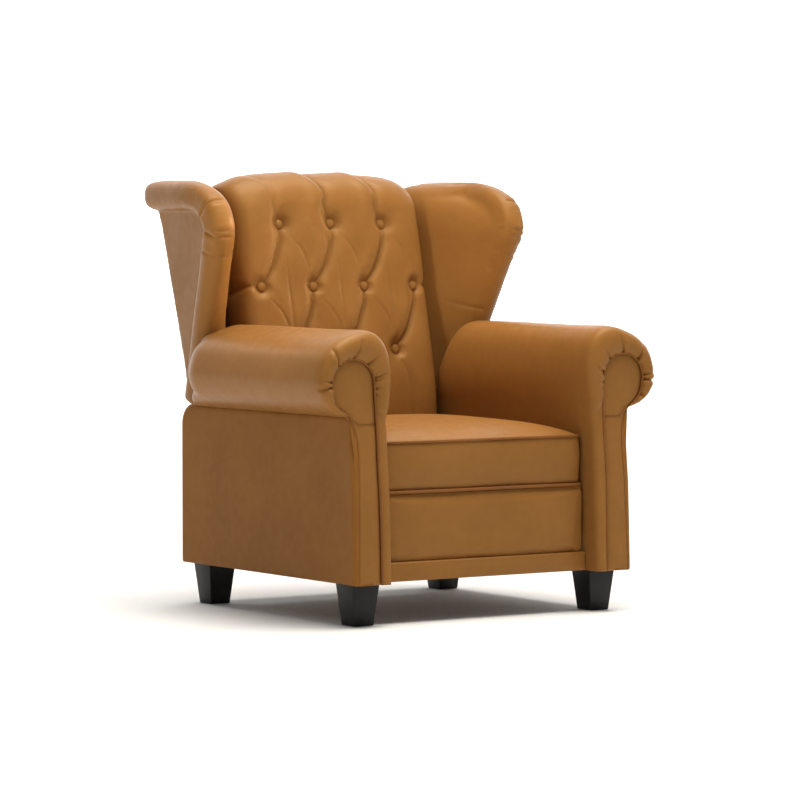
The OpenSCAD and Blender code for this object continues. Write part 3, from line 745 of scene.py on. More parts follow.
def dress(piece: bpy.types.Object, finish: Finish) -> None:
    """Gives a piece one finish, which is made when it is first asked for.

    Args:
        piece: the piece.
        finish: its finish.
    """
    if finish not in made_finishes:
        made_finishes[finish] = finish.value.material()
    piece.data.materials.clear()
    piece.data.materials.append(made_finishes[finish])


def settle(piece: bpy.types.Object, body: str, finish: Finish, nodes: Sequence[str] = ()) -> bpy.types.Object:
    """Dresses a finished piece and sets it on its body.

    Args:
        piece: the finished piece.
        body: the body that it moves with.
        finish: its finish.
        nodes: the solids that it stands for.

    Returns:
        The piece.
    """
    dress(piece, finish)
    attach(piece, body)
    if nodes:
        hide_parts(*nodes)
    log.info("%s on %s, %d faces", piece.name, body, len(piece.data.polygons))
    return piece


# ARMS


@dataclass
class Arm:
    """One arm: its cover, side panel, scroll panel and piping.

    The arm's front leans back a little from its foot to the scroll, and the cover puffs
    out round the scroll.
    """

    side: Side
    half_width: float = 380.0
    inner_x: float = 283.0
    floor: float = UNDERSIDE
    rear: float = 360.0
    rear_corner: float = 38.0
    box_top: float = 470.0
    scroll: tuple[float, float, float] = (373.0, 540.0, 57.0)
    heart: tuple[float, float] = (365.0, 561.0)
    crease_angle: float = -63.6
    roll_rear: float = 247.0
    roll_rear_r: float = 85.0
    pleats: tuple[tuple[float, float, float], ...] = (
        (-38, 30, 2.2), (-5, 60, 5.0), (5, 46, 3.6), (45, 58, 4.2), (90, 56, 3.0), (130, 44, 3.0),
        (165, 40, 3.6), (171, 34, 2.6), (188, 26, 2.6), (203, 20, 1.6))

    def front_y(self, z: Points) -> Points:
        """How far forward the seams of the arm's front lie at a height.

        Args:
            z: one height or several.

        Returns:
            The place of each, below 0 as the front is.
        """
        heights = [95, 200, 300, 355, 400, 440, 470, 505]
        fronts = [-393, -390, -386, -381, -377, -373, -370, -368]
        return np.interp(z, heights, fronts)

    def outline(self) -> Points:
        """The roll's section, from its outer crease over the top to the arm's inner foot.

        Returns:
            Its points, across and up.
        """
        roll = spline([(376, 467), (404, 473), (433, 486), (454, 509), (464, 541), (460, 574), (445, 609),
                       (411, 638), (367, 656), (336, 661), (307, 653), (285, 630), (273, 594), (269, 550),
                       (273, 505), (280, 468), (283, 430)], 10)
        wall = np.array([(self.inner_x, z) for z in np.linspace(425, self.floor, 60)])
        return np.vstack([roll, wall])

    def seam(self) -> Points:
        """The line of the piping, from the crease round the scroll and down to the foot.

        Returns:
            Its points, across and up.
        """
        turn = np.linspace(self.crease_angle, 180, 130)
        circle = np.array([self._on_circle(a) for a in turn])
        return np.vstack([circle, self._column()[1:]])

    def _column(self) -> Points:
        """The seam's inner side, from the scroll's middle height down to the foot.

        Returns:
            Its points, across and up.
        """
        x, z, r = self.scroll
        return spline([(x - r, z), (314, 485), (313, 420), (314, 360), (313, 270), (312, 190),
                       (312, self.floor)], 12)

    def _on_circle(self, angle: float) -> tuple[float, float]:
        """The place on the scroll's edge at an angle; its low outer side is drawn out to the notch.

        Args:
            angle: in degrees, 0 outwards and 90 upwards.

        Returns:
            The place, across and up.
        """
        x, z, r = self.scroll
        if angle < -5:
            r += 8.0 * float(smooth_step(-5, -66, angle))
        return x + r * math.cos(math.radians(angle)), z + r * math.sin(math.radians(angle))

    def columns(self) -> tuple[Points, Points, Points]:
        """The seam's and the outline's points that belong together.

        Returns:
            The seam, the outline, and each column's angle round the scroll in degrees,
            which goes on past 180 down the column.
        """
        seam, outline = self.seam(), self.outline()
        x, z, r = self.scroll
        marks = [(seam[0], outline[0], 2), (self._on_circle(0), (464, 541), 54),
                 (self._on_circle(92), (345, 661), 96), (self._on_circle(180), (269, 550), 90),
                 ((314, 485), (277, 482), 30), ((312, self.floor), (self.inner_x, self.floor), 96)]
        parts = []
        for (s0, o0, _), (s1, o1, count) in zip(marks, marks[1:]):
            parts.append(tuple(even(self._between(line, p, q), count)[:-1]
                               for line, p, q in ((seam, s0, s1), (outline, o0, o1))))
        s = np.vstack([p[0] for p in parts] + [seam[-1:]])
        o = np.vstack([p[1] for p in parts] + [outline[-1:]])
        angle = np.degrees(np.arctan2(s[:, 1] - z, s[:, 0] - x))
        below = np.arange(len(s)) > np.argmax(angle)
        angle = np.where(below, 180 + np.degrees((z - s[:, 1]) / r), angle)
        return s, o, angle

    @staticmethod
    def _between(line: Points, start: Sequence[float], end: Sequence[float]) -> Points:
        """The stretch of a line from its point nearest start to its point nearest end.

        Args:
            line: the line's points.
            start: where the stretch starts.
            end: where it ends.

        Returns:
            The stretch's points.
        """
        i = int(np.argmin(np.linalg.norm(line - start, axis=1)))
        j = int(np.argmin(np.linalg.norm(line - end, axis=1)))
        return line[i:j + 1]

    def rear_of(self, outline: Points) -> Points:
        """How far back each column of the cover goes, clear of the wing behind it.

        Args:
            outline: the roll's section.

        Returns:
            How far back each of its points goes.
        """
        x, z = outline[:, 0], outline[:, 1]
        clear_of_wing = 7
        wing = np.minimum(Wing.front_edge(z) - clear_of_wing, 262 + 16 * (1 - smooth_step(480, 520, z)))
        roll = wing + (self.roll_rear - wing) * smooth_step(396, 420, x)
        pivot_y, pivot_z, clear = 325.0, 440.0, 31.0
        wall = pivot_y + np.sqrt(np.clip(clear ** 2 - np.clip(z - pivot_z, 0, clear) ** 2, 0, None))
        wall = np.minimum(wall, self.rear - 6)
        return np.where((x < 300) & (z < pivot_z + clear), wall, roll)

    def cover(self) -> bpy.types.Object:
        """The leather from the outer crease over the roll and down the arm's inner face.

        Returns:
            The piece.
        """
        seam, outline, angle = self.columns()
        high = smooth_step(430, 500, outline[:, 1])
        puff_depth = 34
        puff = spline([(0, 0), (0.03, -6), (0.16, -13), (0.42, -17), (0.7, -13), (0.9, -3), (0.975, 12),
                       (1.0, puff_depth)], 5)
        strip = spline([(0, 0), (0.08, -3), (0.4, -5), (0.75, -3), (0.93, 4), (0.99, 14),
                        (1.0, puff_depth)], 5)
        strip = even(strip, len(puff))
        front = self.front_y(seam[:, 1])
        rear = self.rear_of(outline)
        rows = []
        for (f1, y1), (f2, y2) in zip(puff, strip):
            share = f2 + (f1 - f2) * high
            y = y2 + (y1 - y2) * high
            rows.append(at_depth(seam + (outline - seam) * share[:, None], front + y))
        start = front + puff_depth
        dome = smooth_step(474, 500, outline[:, 1])
        outer = smooth_step(396, 430, outline[:, 0])
        end_round = 6 + dome * (30 + (self.roll_rear_r - 36) * outer)
        for t in np.linspace(0, 1, 64)[1:] ** 1.15:
            rows.append(at_depth(outline, start + (rear - end_round - start) * t))
        for turn in np.radians(np.linspace(0, 84, 16)[1:]):
            shrink = 1 - (0.30 + 0.42 * outer) * dome * (1 - math.cos(turn))
            section = self.heart + (outline - self.heart) * shrink[:, None]
            section[:, 1] = np.maximum(section[:, 1], np.minimum(outline[:, 1], 468))
            rows.append(at_depth(section, rear - end_round + end_round * math.sin(turn)))
        grid = self._pleated(np.array(rows), angle)
        under = np.array([(298, self.floor), (298, 300), (298, 452), (360, 452)])
        depths = np.clip(grid[:, 0, 1], -self.front_low + 14, 190)
        rings = np.concatenate([grid, np.stack([at_depth(under, y) for y in depths])], axis=1)
        lip = rings[0].copy()
        lip[:, 1] += 9
        return skin(f"{self.side.word}_arm_cover", np.concatenate([lip[None], rings]), self.side)

    @property
    def front_low(self) -> float:
        """How far forward of the datum the arm's foot reaches."""
        return -float(self.front_y(self.floor))

    def _pleated(self, grid: Points, angle: Points) -> Points:
        """The cover's grid with its pleats, gathers and soft unevenness drawn in.

        Args:
            grid: the cover's points, row by row from its front.
            angle: each column's angle round the scroll, in degrees.

        Returns:
            The points, moved.
        """
        normal = grid_normals(grid)
        x, z = self.heart
        flip = np.sign((normal[45] * (grid[45] - [x, 0, z])).sum())
        across = run_along(grid, 1)
        down = run_along(grid, 0)
        column = np.arange(len(angle))
        depth = np.zeros(grid.shape[:2])
        for at, length, deep in self.pleats:
            k = np.interp(at, angle, column)
            low = int(k)
            at_low = across[:, low:low + 1]
            d = across - (at_low + (k - low) * (across[:, low + 1:low + 2] - at_low))
            fade = np.clip(1 - down / length, 0, 1) ** 0.7 * smooth_step(-1, 3, down)
            width = 1.5 + 0.02 * down
            near = np.where(d < 0, np.exp(-np.abs(d) / width), np.exp(-np.abs(d) / (2.2 * width)))
            bulge = np.exp(-((np.abs(d) - 4.2 * width) / (3.0 * width)) ** 2)
            depth += fade * deep * (2.3 * near - 0.7 * bulge)
        ripple = np.sin(np.radians(angle) * 9.0 + 0.8) * 0.8 * np.exp(-((down - 14) / 16) ** 2)
        depth += ripple * (angle < 200) * smooth_step(470, 500, grid[..., 2])
        wave = 0.6 * np.sin(across / 61 + down / 93) + 0.5 * np.sin(across / 97 - down / 76 + 1.3)
        depth += wave * smooth_step(20, 90, down) * smooth_step(0, 40, across)
        tuck = np.exp(-((down - down.max(0) + 90) / 30) ** 2) * np.exp(-across / 26)
        depth += 1.6 * tuck * np.sin(down / 5.0)
        return grid - flip * normal * depth[..., None]

    def scroll_edges(self) -> tuple[Points, Points, Points]:
        """Heights from the foot to the scroll's top, with the panel's inner and outer edge.

        Returns:
            The heights, and the inner and the outer edge at each.
        """
        x, z, r = self.scroll
        levels = np.concatenate([np.linspace(self.floor, 440, 70)[:-1], np.linspace(440, z, 44)[:-1],
                                 z + r * np.sin(np.radians(np.linspace(0, 89.5, 34)))])
        turn = np.linspace(self.crease_angle, 0, 40)
        low_arc = np.array([self._on_circle(a) for a in turn])
        column = self._column()
        inner = np.interp(levels, column[::-1, 1], column[::-1, 0])
        chord = np.sqrt(np.clip(r * r - (levels - z) ** 2, 0.2, None))
        inner = np.where(levels > z, x - chord, inner)
        side = np.vstack([[(self.floor, 371), (200, 368), (300, 366), (386, 363), (419, 365), (441, 369),
                           (458, 376), (471, 388)], low_arc[:, ::-1]])
        outer = np.where(levels > z, x + chord, np.interp(levels, side[:, 0], side[:, 1]))
        return levels, inner, outer

    def scroll_panel(self) -> bpy.types.Object:
        """The panel inside the piping, softly domed.

        Returns:
            The piece.
        """
        levels, inner, outer = self.scroll_edges()
        t = np.concatenate([[0], 0.5 - 0.5 * np.cos(np.pi * np.linspace(0.02, 0.98, 30)), [1]])
        width = (outer - inner)[:, None]
        xs = inner[:, None] + width * t
        zs = np.broadcast_to(levels[:, None], xs.shape)
        to_ends = np.minimum(levels[-1] - levels, levels - levels[0] + 1)[:, None]
        edge = np.minimum(np.minimum(xs - inner[:, None], outer[:, None] - xs), to_ends)
        dome = swell(edge, 3.0, 4) + swell(edge, 4.0, 26)
        base = self.front_y(zs)
        to_side = 1 - (1 - smooth_step(0, 12, outer[:, None] - xs)) * smooth_step(492, 455, zs)
        front = np.stack([xs, base + 0.8 + 2.4 * to_side - dome, zs], axis=2)
        back = front[:, ::-1].copy()
        back[..., 1] = base[:, ::-1] + 9
        return skin(f"{self.side.word}_scroll", np.concatenate([front, back], axis=1), self.side)

    def welt(self) -> bpy.types.Object:
        """The piping along the scroll's seam, and the thin one on its outer edge.

        Returns:
            The piece.
        """
        seam = even(self.seam(), 220)
        main = at_depth(seam, self.front_y(seam[:, 1]) - 2.6)
        levels, _, outer = self.scroll_edges()
        keep = levels < 478
        edge = np.column_stack([outer[keep] + 0.6, levels[keep]])
        thin = at_depth(edge, self.front_y(levels[keep]) + 0.6)
        cords = [skin("welt", tube(main, 3.1, 12), self.side),
                 skin("welt_side", tube(thin, 1.2, 8), self.side)]
        return join(f"{self.side.word}_scroll_welt", cords)

    def side_panel(self) -> bpy.types.Object:
        """The flat outer side, wrapped round its front edge and its rear top corner.

        Returns:
            The piece.
        """
        levels, _, outer = self.scroll_edges()
        corner, ease, front = self.rear_corner, 9.0, 386
        inset = self.half_width - 46
        turn = np.radians(np.linspace(0, 90, 14))
        along = np.concatenate([ease * (1 - np.cos(turn)), np.linspace(18, 706, 70)])
        tail = np.append(self.rear - corner + corner * np.sin(turn[1:-1]), self.rear - 0.4)
        wrap = np.concatenate([np.sin(turn), np.ones(70 + len(tail))])
        shares = np.concatenate([[0, 0.004, 0.012, 0.03], np.linspace(0.06, 0.9, 34),
                                 [0.93, 0.955, 0.975, 0.988, 0.996, 1]])
        rings = []
        for k, w in enumerate(wrap):
            past = k - len(along)
            fall = (tail[past] - self.rear + corner) / corner if past >= 0 else 0.0
            top = self.box_top + 1.5 - corner * (1 - math.sqrt(max(0.0, 1 - fall ** 2)))
            z = self.floor + (top - self.floor) * shares
            if past >= 0:
                y = np.full(len(z), tail[past])
            else:
                lean = self.front_y(z)
                y = lean + along[k] * (self.rear - corner - lean) / (self.rear - corner + front)
            face = self.half_width - 5 * (1 - quarter_round((z - self.floor) / 5)) \
                - 9 * (1 - quarter_round((top - z) / 11))
            near_front = np.exp(-np.clip(y + 380, 0, None) / 60)
            face = face + 2.5 * near_front - 5 * np.exp(-((z - 450) / 30) ** 2) * near_front
            face = face + 2.4 * np.sin(np.pi * np.clip((z - self.floor) / 375, 0, 1)) \
                * np.sin(np.pi * np.clip((y + front) / 740, 0, 1))
            edge = np.minimum(np.interp(z, levels, outer), 384) + 1.5
            skin_line = np.column_stack([edge + (face - edge) * w, y, z])
            inside = np.array([(inset, y[-1], top), (inset, y[0], self.floor)])
            rings.append(np.vstack([skin_line, inside]))
        return skin(f"{self.side.word}_side_cover", np.array(rings), self.side)

    def rear_edge(self) -> bpy.types.Object:
        """The leather over the arm's rear edge, between the inner wall and the side panel.

        Returns:
            The piece.
        """
        corner, thick = self.rear_corner, 5.0
        across = np.linspace(-1, 1, 13)
        y0, z0 = self.rear - corner, self.box_top - corner
        stops = [(self.rear, z, 0.0) for z in np.linspace(self.floor, z0, 24)[:-1]]
        stops += [(y0 + corner * math.cos(a), z0 + corner * math.sin(a), a)
                  for a in np.radians(np.linspace(0, 80, 14))]
        rings = []
        for y, z, a in stops:
            out = np.array([0, math.cos(a), math.sin(a)])
            low = 1 - min(1.0, (z - self.floor) / 8)
            bulge = (1.0 + 1.4 * (1 - min(1.0, a)) * (1 - low ** 2)) * (1 - across ** 6)
            line = np.column_stack([310.5 + 26.5 * across, np.full(13, y), np.full(13, z)])
            inside = np.array([(337.0, y, z), (284.0, y, z)]) - thick * out
            rings.append(np.vstack([line + bulge[:, None] * out, inside]))
        return skin(f"{self.side.word}_rear_edge", np.array(rings), self.side)

    def build(self) -> None:
        """Makes and dresses the arm's pieces."""
        word = self.side.word
        settle(self.cover(), "base", Finish.COVER, [f"{word}_arm_roll", f"{word}_inner_panel"])
        # The side panel and the rear edge take the darker copy of the leather: painted shade.
        settle(self.side_panel(), "base", Finish.FLAT, [f"{word}_side_panel"])
        settle(self.rear_edge(), "base", Finish.FLAT)
        settle(self.scroll_panel(), "base", Finish.COVER, [f"{word}_scroll_panel"])
        settle(self.welt(), "base", Finish.WELT, [f"{word}_scroll_piping"])


# BACK


@dataclass
class Back:
    """The reclining back: the tufted cushion, its buttons and the outside panel."""

    lean: float = math.radians(BACK_LEAN)
    panel: float = 9.0
    base: float = 44.5
    full: float = 168.0
    half: float = 260.0
    box: float = 9.0
    low: float = -140.0
    top: float = 539.0
    shoulder: float = 436.0
    corner_drop: float = 36.0
    row_step: float = 155.0
    pitch: float = 146.0
    low_row: float = 89.0
    button_radius: float = 13.0

    def placed(self, x: Points, v: Points, w: Points) -> Points:
        """Places from the back's own frame: across, out of its rear face, and up its lean.

        Args:
            x: how far across.
            v: how far in front of the rear face.
            w: how far up the lean.

        Returns:
            The places, in millimetres from the datum.
        """
        c, s = math.cos(self.lean), math.sin(self.lean)
        y = BACK_FOOT_Y + w * s - v * c
        z = BACK_FOOT_Z + v * s + w * c
        return np.stack(np.broadcast_arrays(x, y, z), axis=-1)

    def buttons(self) -> list[tuple[float, float]]:
        """Every button, from the lowest row up: three, four and three.

        Returns:
            How far across and up each one is, along the surface.
        """
        rows = ((3, 1.0), (4, 1.5), (3, 1.0))
        return [((k - middle) * self.pitch, self.low_row + row * self.row_step)
                for row, (count, middle) in enumerate(rows) for k in range(count)]

    def folds(self) -> list[Fold]:
        """The creases between the buttons and from them to the cushion's edges.

        Returns:
            The creases.
        """
        full = ((0, 0), (0.07, 0.165), (0.16, 0.36), (0.5, 0.70), (0.85, 0.90), (1, 1))
        slack = ((0, 0), (0.22, 0.19), (0.60, 0.40), (0.79, 0.62), (0.86, 0.86), (1, 1))
        rise = ((0, 0), (-12, 14), (-17, 36), (-12, 66), (-14, 96), (-24, 132), (-40, 190))
        fall = ((0, 0), (8, -30), (24, -66), (32, -120), (34, -180))
        made = []
        buttons = self.buttons()
        for x, w in buttons:
            for to_x, to_w in buttons:
                if w - to_w <= 1 or abs(x - to_x) >= self.pitch:
                    continue
                shape = full if to_x < x else slack
                path = tuple((x + (to_x - x) * s, w + (to_w - w) * t) for s, t in shape)
                if to_x < x:
                    made.append(Fold(path[::-1], 18.0, steep=6.0, gentle=32.0, lip=0.16))
                else:
                    made.append(Fold(path, 4.0, steep=4.0, gentle=9.0, lip=0.15))
            if w > self.low_row + 1.5 * self.row_step:
                deep = 18.0 if x > -self.pitch / 2 else 9.0
                path = tuple((x + s, w + t) for s, t in rise)
                made.append(Fold(path, deep, steep=6.0, gentle=34.0, lip=0.18, fade=0.45))
            if w < self.low_row + 1:
                path = tuple((x + s, w + t) for s, t in fall)
                made.append(Fold(path, 7.0, steep=12.0, gentle=20.0, lip=0.1))
            if abs(x) > 1.2 * self.pitch:
                out = math.copysign(1, x)
                path = ((x, w), (x + 40 * out, w + 2), (x + 170 * out, w))
                made.append(Fold(path, 9.0, steep=8.0, gentle=12.0, lip=0.1))
        for column in (-1.5, -0.5, 0.5, 1.5):
            at = column * self.pitch
            path = ((at - 12, self.top + 130), (at - 4, self.top + 20))
            made.append(Fold(path, 5.0, steep=8.0, gentle=14.0, lip=0.2, fade=1.0))
        return made

    def surface(self, columns: int, rows: int) -> tuple[Points, Points, Points]:
        """The cushion's front, without its tufts.

        Args:
            columns: points across.
            rows: points from its foot over the top.

        Returns:
            The points, and two grids of distances along the surface: across from the
            middle, and up from the buttons' zero.
        """
        turn = np.linspace(0, math.pi, columns)
        power = 2 / self.box
        lift = np.sin(turn) ** power
        x = -self.half * np.sign(np.cos(turn)) * np.abs(np.cos(turn)) ** power
        x = even(np.column_stack([x, 120 * lift]), columns)[:, 0]
        lift = (1 - np.clip(np.abs(x) / self.half, 0, 1) ** self.box) ** (1 / self.box)
        arc = np.radians(np.linspace(0, 90, 60))
        foot = spline([(self.low, 0.70), (self.low + 50, 0.85), (self.low + 100, 0.94), (8, 0.985),
                       (60, 1.0)], 6)
        face = [(w, 1.0 + 0.035 * math.sin(math.pi * (w - 60) / (self.shoulder - 60)))
                for w in np.linspace(80, self.shoulder - 20, 12)]
        over = np.column_stack([self.shoulder + (self.top - self.shoulder) * np.sin(arc) ** (2 / 2.2),
                                0.03 + 0.97 * np.cos(arc) ** (2 / 2.2)])
        profile = np.vstack([foot[:-1], face, over]) * [1, self.full - self.base]
        profile = even(profile, rows)
        w, m = profile[:, 0], profile[:, 1]
        drop = self.corner_drop * np.abs(x / self.half) ** 4.5
        share = np.clip((w - 250) / (self.top - 250), 0, 1) ** 1.5
        grid = np.stack([np.broadcast_to(x, (rows, columns)), self.base + m[:, None] * lift,
                         w[:, None] - share[:, None] * drop], axis=2)
        across = run_along(grid, 1)
        across = across - across[:, columns // 2:columns // 2 + 1]
        up = np.concatenate([[0], np.cumsum(np.linalg.norm(np.diff(profile, axis=0), axis=1))])
        up = up - np.interp(self.low_row, w[:rows // 2], up[:rows // 2]) + self.low_row
        return grid, across, np.broadcast_to(up[:, None], across.shape)

    def tufted(self, grid: Points, across: Points, up: Points) -> Points:
        """The cushion's front with its buttons and folds drawn in.

        Args:
            grid: the untufted front.
            across: each point's distance from the middle.
            up: each point's distance from the buttons' zero.

        Returns:
            The points, moved.
        """
        sink = np.zeros(across.shape)
        raised = np.zeros(across.shape)
        for fold in self.folds():
            one = fold.sink(across, up)
            sink += np.clip(one, 0, None) ** 4
            raised += np.clip(-one, 0, None) ** 4
        sink, raised = sink ** 0.25, raised ** 0.25
        hole = np.zeros(across.shape)
        for x, w in self.buttons():
            away = np.hypot(across - x, up - w)
            hole += 0.6 * np.exp(-(away / 17) ** 2) + 0.4 * np.exp(-away / 28)
        cells = np.cos(2 * np.pi * (up - self.low_row) / self.row_step) \
            * np.cos(2 * np.pi * across / self.pitch)
        normal = grid_normals(grid)
        normal *= np.sign(normal[len(grid) // 2, grid.shape[1] // 2, 1])
        hole *= 26
        low = np.maximum(sink, hole) + 0.2 * np.minimum(sink, hole)
        depth = low - raised + 1.5 * cells * smooth_step(0, 60, up) - 4
        return grid - normal * depth[..., None]

    @cached_property
    def front(self) -> tuple[Points, Points, Points]:
        """The tufted front's points, and their two distances along the untufted one."""
        grid, across, up = self.surface(columns=262, rows=290)
        return self.tufted(grid, across, up), across, up

    def cushion(self) -> bpy.types.Object:
        """The button-tufted cushion.

        Returns:
            The piece.
        """
        grid = self.front[0]
        rear = grid[:, ::-16] * [0.985, 0, 1] + [0, self.base + 0.5, 0]
        rings = np.concatenate([grid, rear], axis=1)
        return skin("back_cushion_cover", self.placed(*np.moveaxis(rings, -1, 0)))

    def button(self, index: int, x: float, w: float) -> bpy.types.Object:
        """One covered button: a low dome with its leather drawn round its edge.

        Args:
            index: its number.
            x: how far across it is, along the surface.
            w: how far up it is, along the surface.

        Returns:
            The button.
        """
        grid, across, up = self.front
        i, j = np.unravel_index(np.argmin(np.hypot(across - x, up - w)), across.shape)
        at = self.placed(*grid[i, j])
        bpy.ops.object.select_all(action="DESELECT")
        bpy.ops.mesh.primitive_uv_sphere_add(segments=32, ring_count=20, radius=self.button_radius * MM)
        dome = bpy.context.object
        bpy.ops.object.mode_set(mode="EDIT")
        bpy.ops.transform.resize(value=(1, 1, 0.62))
        bpy.ops.object.mode_set(mode="OBJECT")
        co = np.array([v.co for v in dome.data.vertices]) / MM
        low = np.clip(-co[:, 2] / 8, 0, 1)
        co[:, :2] *= (1 - 0.22 * low ** 2)[:, None]
        out = np.array([0, -math.cos(self.lean), math.sin(self.lean)])
        upward = np.array([0, math.sin(self.lean), math.cos(self.lean)])
        set_points(dome, at + co[:, :1] * [1, 0, 0] + co[:, 1:2] * upward + (co[:, 2:3] + 10.0) * out)
        face_outwards(dome.data)
        dome.name = dome.data.name = f"button_{index}"
        return dome

    def outside(self) -> bpy.types.Object:
        """The leather over the rear of the back, arched at the top and a little crowned.

        Returns:
            The piece.
        """
        side_w = (OUTSIDE_SIDE_TOP - BACK_FOOT_Z) / math.cos(self.lean)
        top_w = (BACK_TOP - BACK_FOOT_Z) / math.cos(self.lean)
        columns = np.linspace(-1, 1, 90)
        rows = []
        for t in np.linspace(0, 1, 70):
            half = OUTSIDE_HALF + OUTSIDE_GAIN * t
            high = side_w + (top_w - side_w) * np.cos(np.pi / 2 * columns)
            x = columns * half
            w = t * high
            near = np.minimum(np.minimum(half - np.abs(x), high - w), w + 0.01)
            outer = np.column_stack([x, 6 - (swell(near, 5, 30) + swell(near, 3.5, 4)), w])
            inner = outer[::-3].copy()
            inner[:, 1] = self.panel - 0.2
            end, up = 8.0 + 10 * t ** 0.3, w[-1]
            hem = np.array([(half + 1.8, end, up), (half - 1.5, end, up), (half - 1.5, 8.8, up)])
            rows.append(np.vstack([outer, hem, inner[1:-1], hem[::-1] * [-1, 1, 1]]))
        return skin("outside_back_cover", self.placed(*np.moveaxis(np.array(rows), -1, 0)))

    def build(self) -> None:
        """Makes and dresses the back's pieces."""
        settle(self.cushion(), "back", Finish.COVER, ["back_cushion"])
        domes = [self.button(k, x, w) for k, (x, w) in enumerate(self.buttons())]
        settle(join("covered_buttons", domes), "back", Finish.COVER, ["back_buttons"])
        # The outside back takes the darker copy of the leather: painted shade.
        settle(self.outside(), "back", Finish.FLAT, ["outside_back_panel"])


# WINGS


@dataclass
class Wing:
    """One wing: its padded inner face, the roll round its edge and its flat outside."""

    side: Side
    foot_z: float = 479.0
    top: float = BACK_TOP
    radius: float = 33.0
    corner: tuple[float, float] = (170.0, 85.0)
    toe: float = math.tan(math.radians(5.5))
    rear_end: float = 488.0
    inner_x: float = 262.0
    board: float = 12.0
    lowest: float = 472.5
    pad_rear: float = 47.0
    board_rear: float = 6.0
    voxel: float = 5.0

    @staticmethod
    def front_edge(z: Points) -> Points:
        """How far behind the datum the wing's front edge is at a height."""
        foot_y, high_y, rise = 290, 104, 404
        return foot_y - (foot_y - high_y) * (z - BACK_FOOT_Z) / rise

    def edge_x(self, y: float, z: float) -> float:
        """Distance of the wing's outer plane from the middle: it spreads upwards and forwards."""
        spread = (z - BACK_FOOT_Z) * OUTSIDE_GAIN / (OUTSIDE_SIDE_TOP - BACK_FOOT_Z)
        return OUTSIDE_HALF + spread + (self.rear_y(z, 0) - y) * self.toe

    @property
    def roll_z(self) -> float:
        """Height of the roll's middle along the top."""
        return self.top - self.radius

    @property
    def corner_z(self) -> float:
        """Height where the front edge starts to turn into the top."""
        return self.roll_z - self.corner[1]

    def rear_y(self, z: float, v: float) -> float:
        """The plane v in front of the back's rear face, at a height."""
        lean = math.radians(BACK_LEAN)
        return BACK_FOOT_Y + (z - BACK_FOOT_Z) * math.tan(lean) - v / math.cos(lean)

    def front_at(self, z: float, limit: float = 1.0) -> float:
        """How far back the roll's middle line is at a height, its turn stopped at a share of the corner."""
        back_off = self.corner[0] * (1 - math.sqrt(1 - min(limit, self.up_corner(z)) ** 2))
        return self.front_edge(min(z, self.corner_z)) + self.radius + back_off

    def up_corner(self, z: float) -> float:
        """How far up the corner a height is, as a share of the corner's rise."""
        return max(0.0, (z - self.corner_z) / self.corner[1])

    def roll_path(self) -> Points:
        """The middle line of the roll, from its rear end over the corner to its foot.

        Returns:
            Its points, in millimetres from the datum.
        """
        start = self.front_edge(self.corner_z) + self.radius
        cy = start + self.corner[0]
        top = [(self.rear_end - back, self.roll_z) for back in (2, 16, 50, 90, 130)]
        turn = np.radians(np.linspace(0, 90, 14))
        bend = [(cy - self.corner[0] * math.sin(a) ** 0.85,
                 self.corner_z + self.corner[1] * abs(math.cos(a)) ** 0.85) for a in turn]
        down = [(self.front_edge(z) + self.radius, z)
                for z in np.linspace(self.corner_z, self.foot_z, 12)[1:]]
        path = even(spline(top + bend + down, 6), 110)
        return np.array([(self.edge_x(y, z), y, z) for y, z in path])

    def pad_rings(self) -> Points:
        """The inner face's padding, as rings up the wing.

        Returns:
            The rings, for skin.
        """
        rings = []
        turn = np.radians(np.linspace(0, 84, 10))
        levels = [(z, 0.0) for z in np.linspace(self.lowest, self.corner_z, 24)[:-1]]
        levels += [(z, 0.0) for z in np.linspace(self.corner_z, self.roll_z - 10, 10)[:-1]]
        levels += [(self.roll_z - 10 + 40 * math.sin(a), 80 * (1 - math.cos(a))) for a in turn]
        for z, shrink in levels:
            t = np.linspace(0, 1, 16)
            front = self.front_at(z, 0.97) - 15 * max(0.3, 1 - self.up_corner(z))
            rear = self.rear_y(z, self.pad_rear)
            inner = self.inner_x + shrink
            edge = max(inner + 5, self.edge_x(front, z) - self.radius + 4)
            x = inner + (edge - inner) * t ** 1.05 - 2 * np.sin(np.pi * t)
            face = np.column_stack([x, rear + (front - rear) * t, np.full(16, z)])
            outer = [(self.edge_x(y, z) - self.board, y, z) for y in (front, rear)]
            rings.append(np.vstack([outer, face]))
        return np.array(rings)

    def board_rings(self) -> Points:
        """The flat outside, as rings up the wing.

        Returns:
            The rings, for skin.
        """
        rings = []
        for z in np.linspace(self.lowest, self.roll_z, 20):
            front = self.front_at(z)
            rear = self.rear_y(z, self.board_rear) - 0.6 * max(0.0, 500 - z)
            a, b = self.edge_x(front, z) + 1, self.edge_x(rear, z) + 1
            rings.append([(a, front, z), (b, rear, z), (b - 22, rear, z), (a - 22, front, z)])
        return np.array(rings)

    def cover(self) -> bpy.types.Object:
        """The wing's leather as one closed skin, creased where the roll meets the outside.

        Returns:
            The piece.
        """
        path = self.roll_path()
        size = np.full(len(path), self.radius)
        size[:4] = self.radius * np.array([0.78, 0.90, 0.96, 0.99])
        parts = [skin("roll", tube(path, size, 28, 2.8), self.side),
                 skin("pad", self.pad_rings(), self.side), skin("board", self.board_rings(), self.side)]
        piece = join(f"{self.side.word}_wing_cover", parts)
        remesh(piece, self.voxel, 2)
        self.relax(piece)
        inflate(piece, 3.0, np.zeros(len(piece.data.vertices)), pressure=2.0)
        subdivide(piece)
        self.crease(piece, path)
        shade_smooth(piece.data)
        return piece

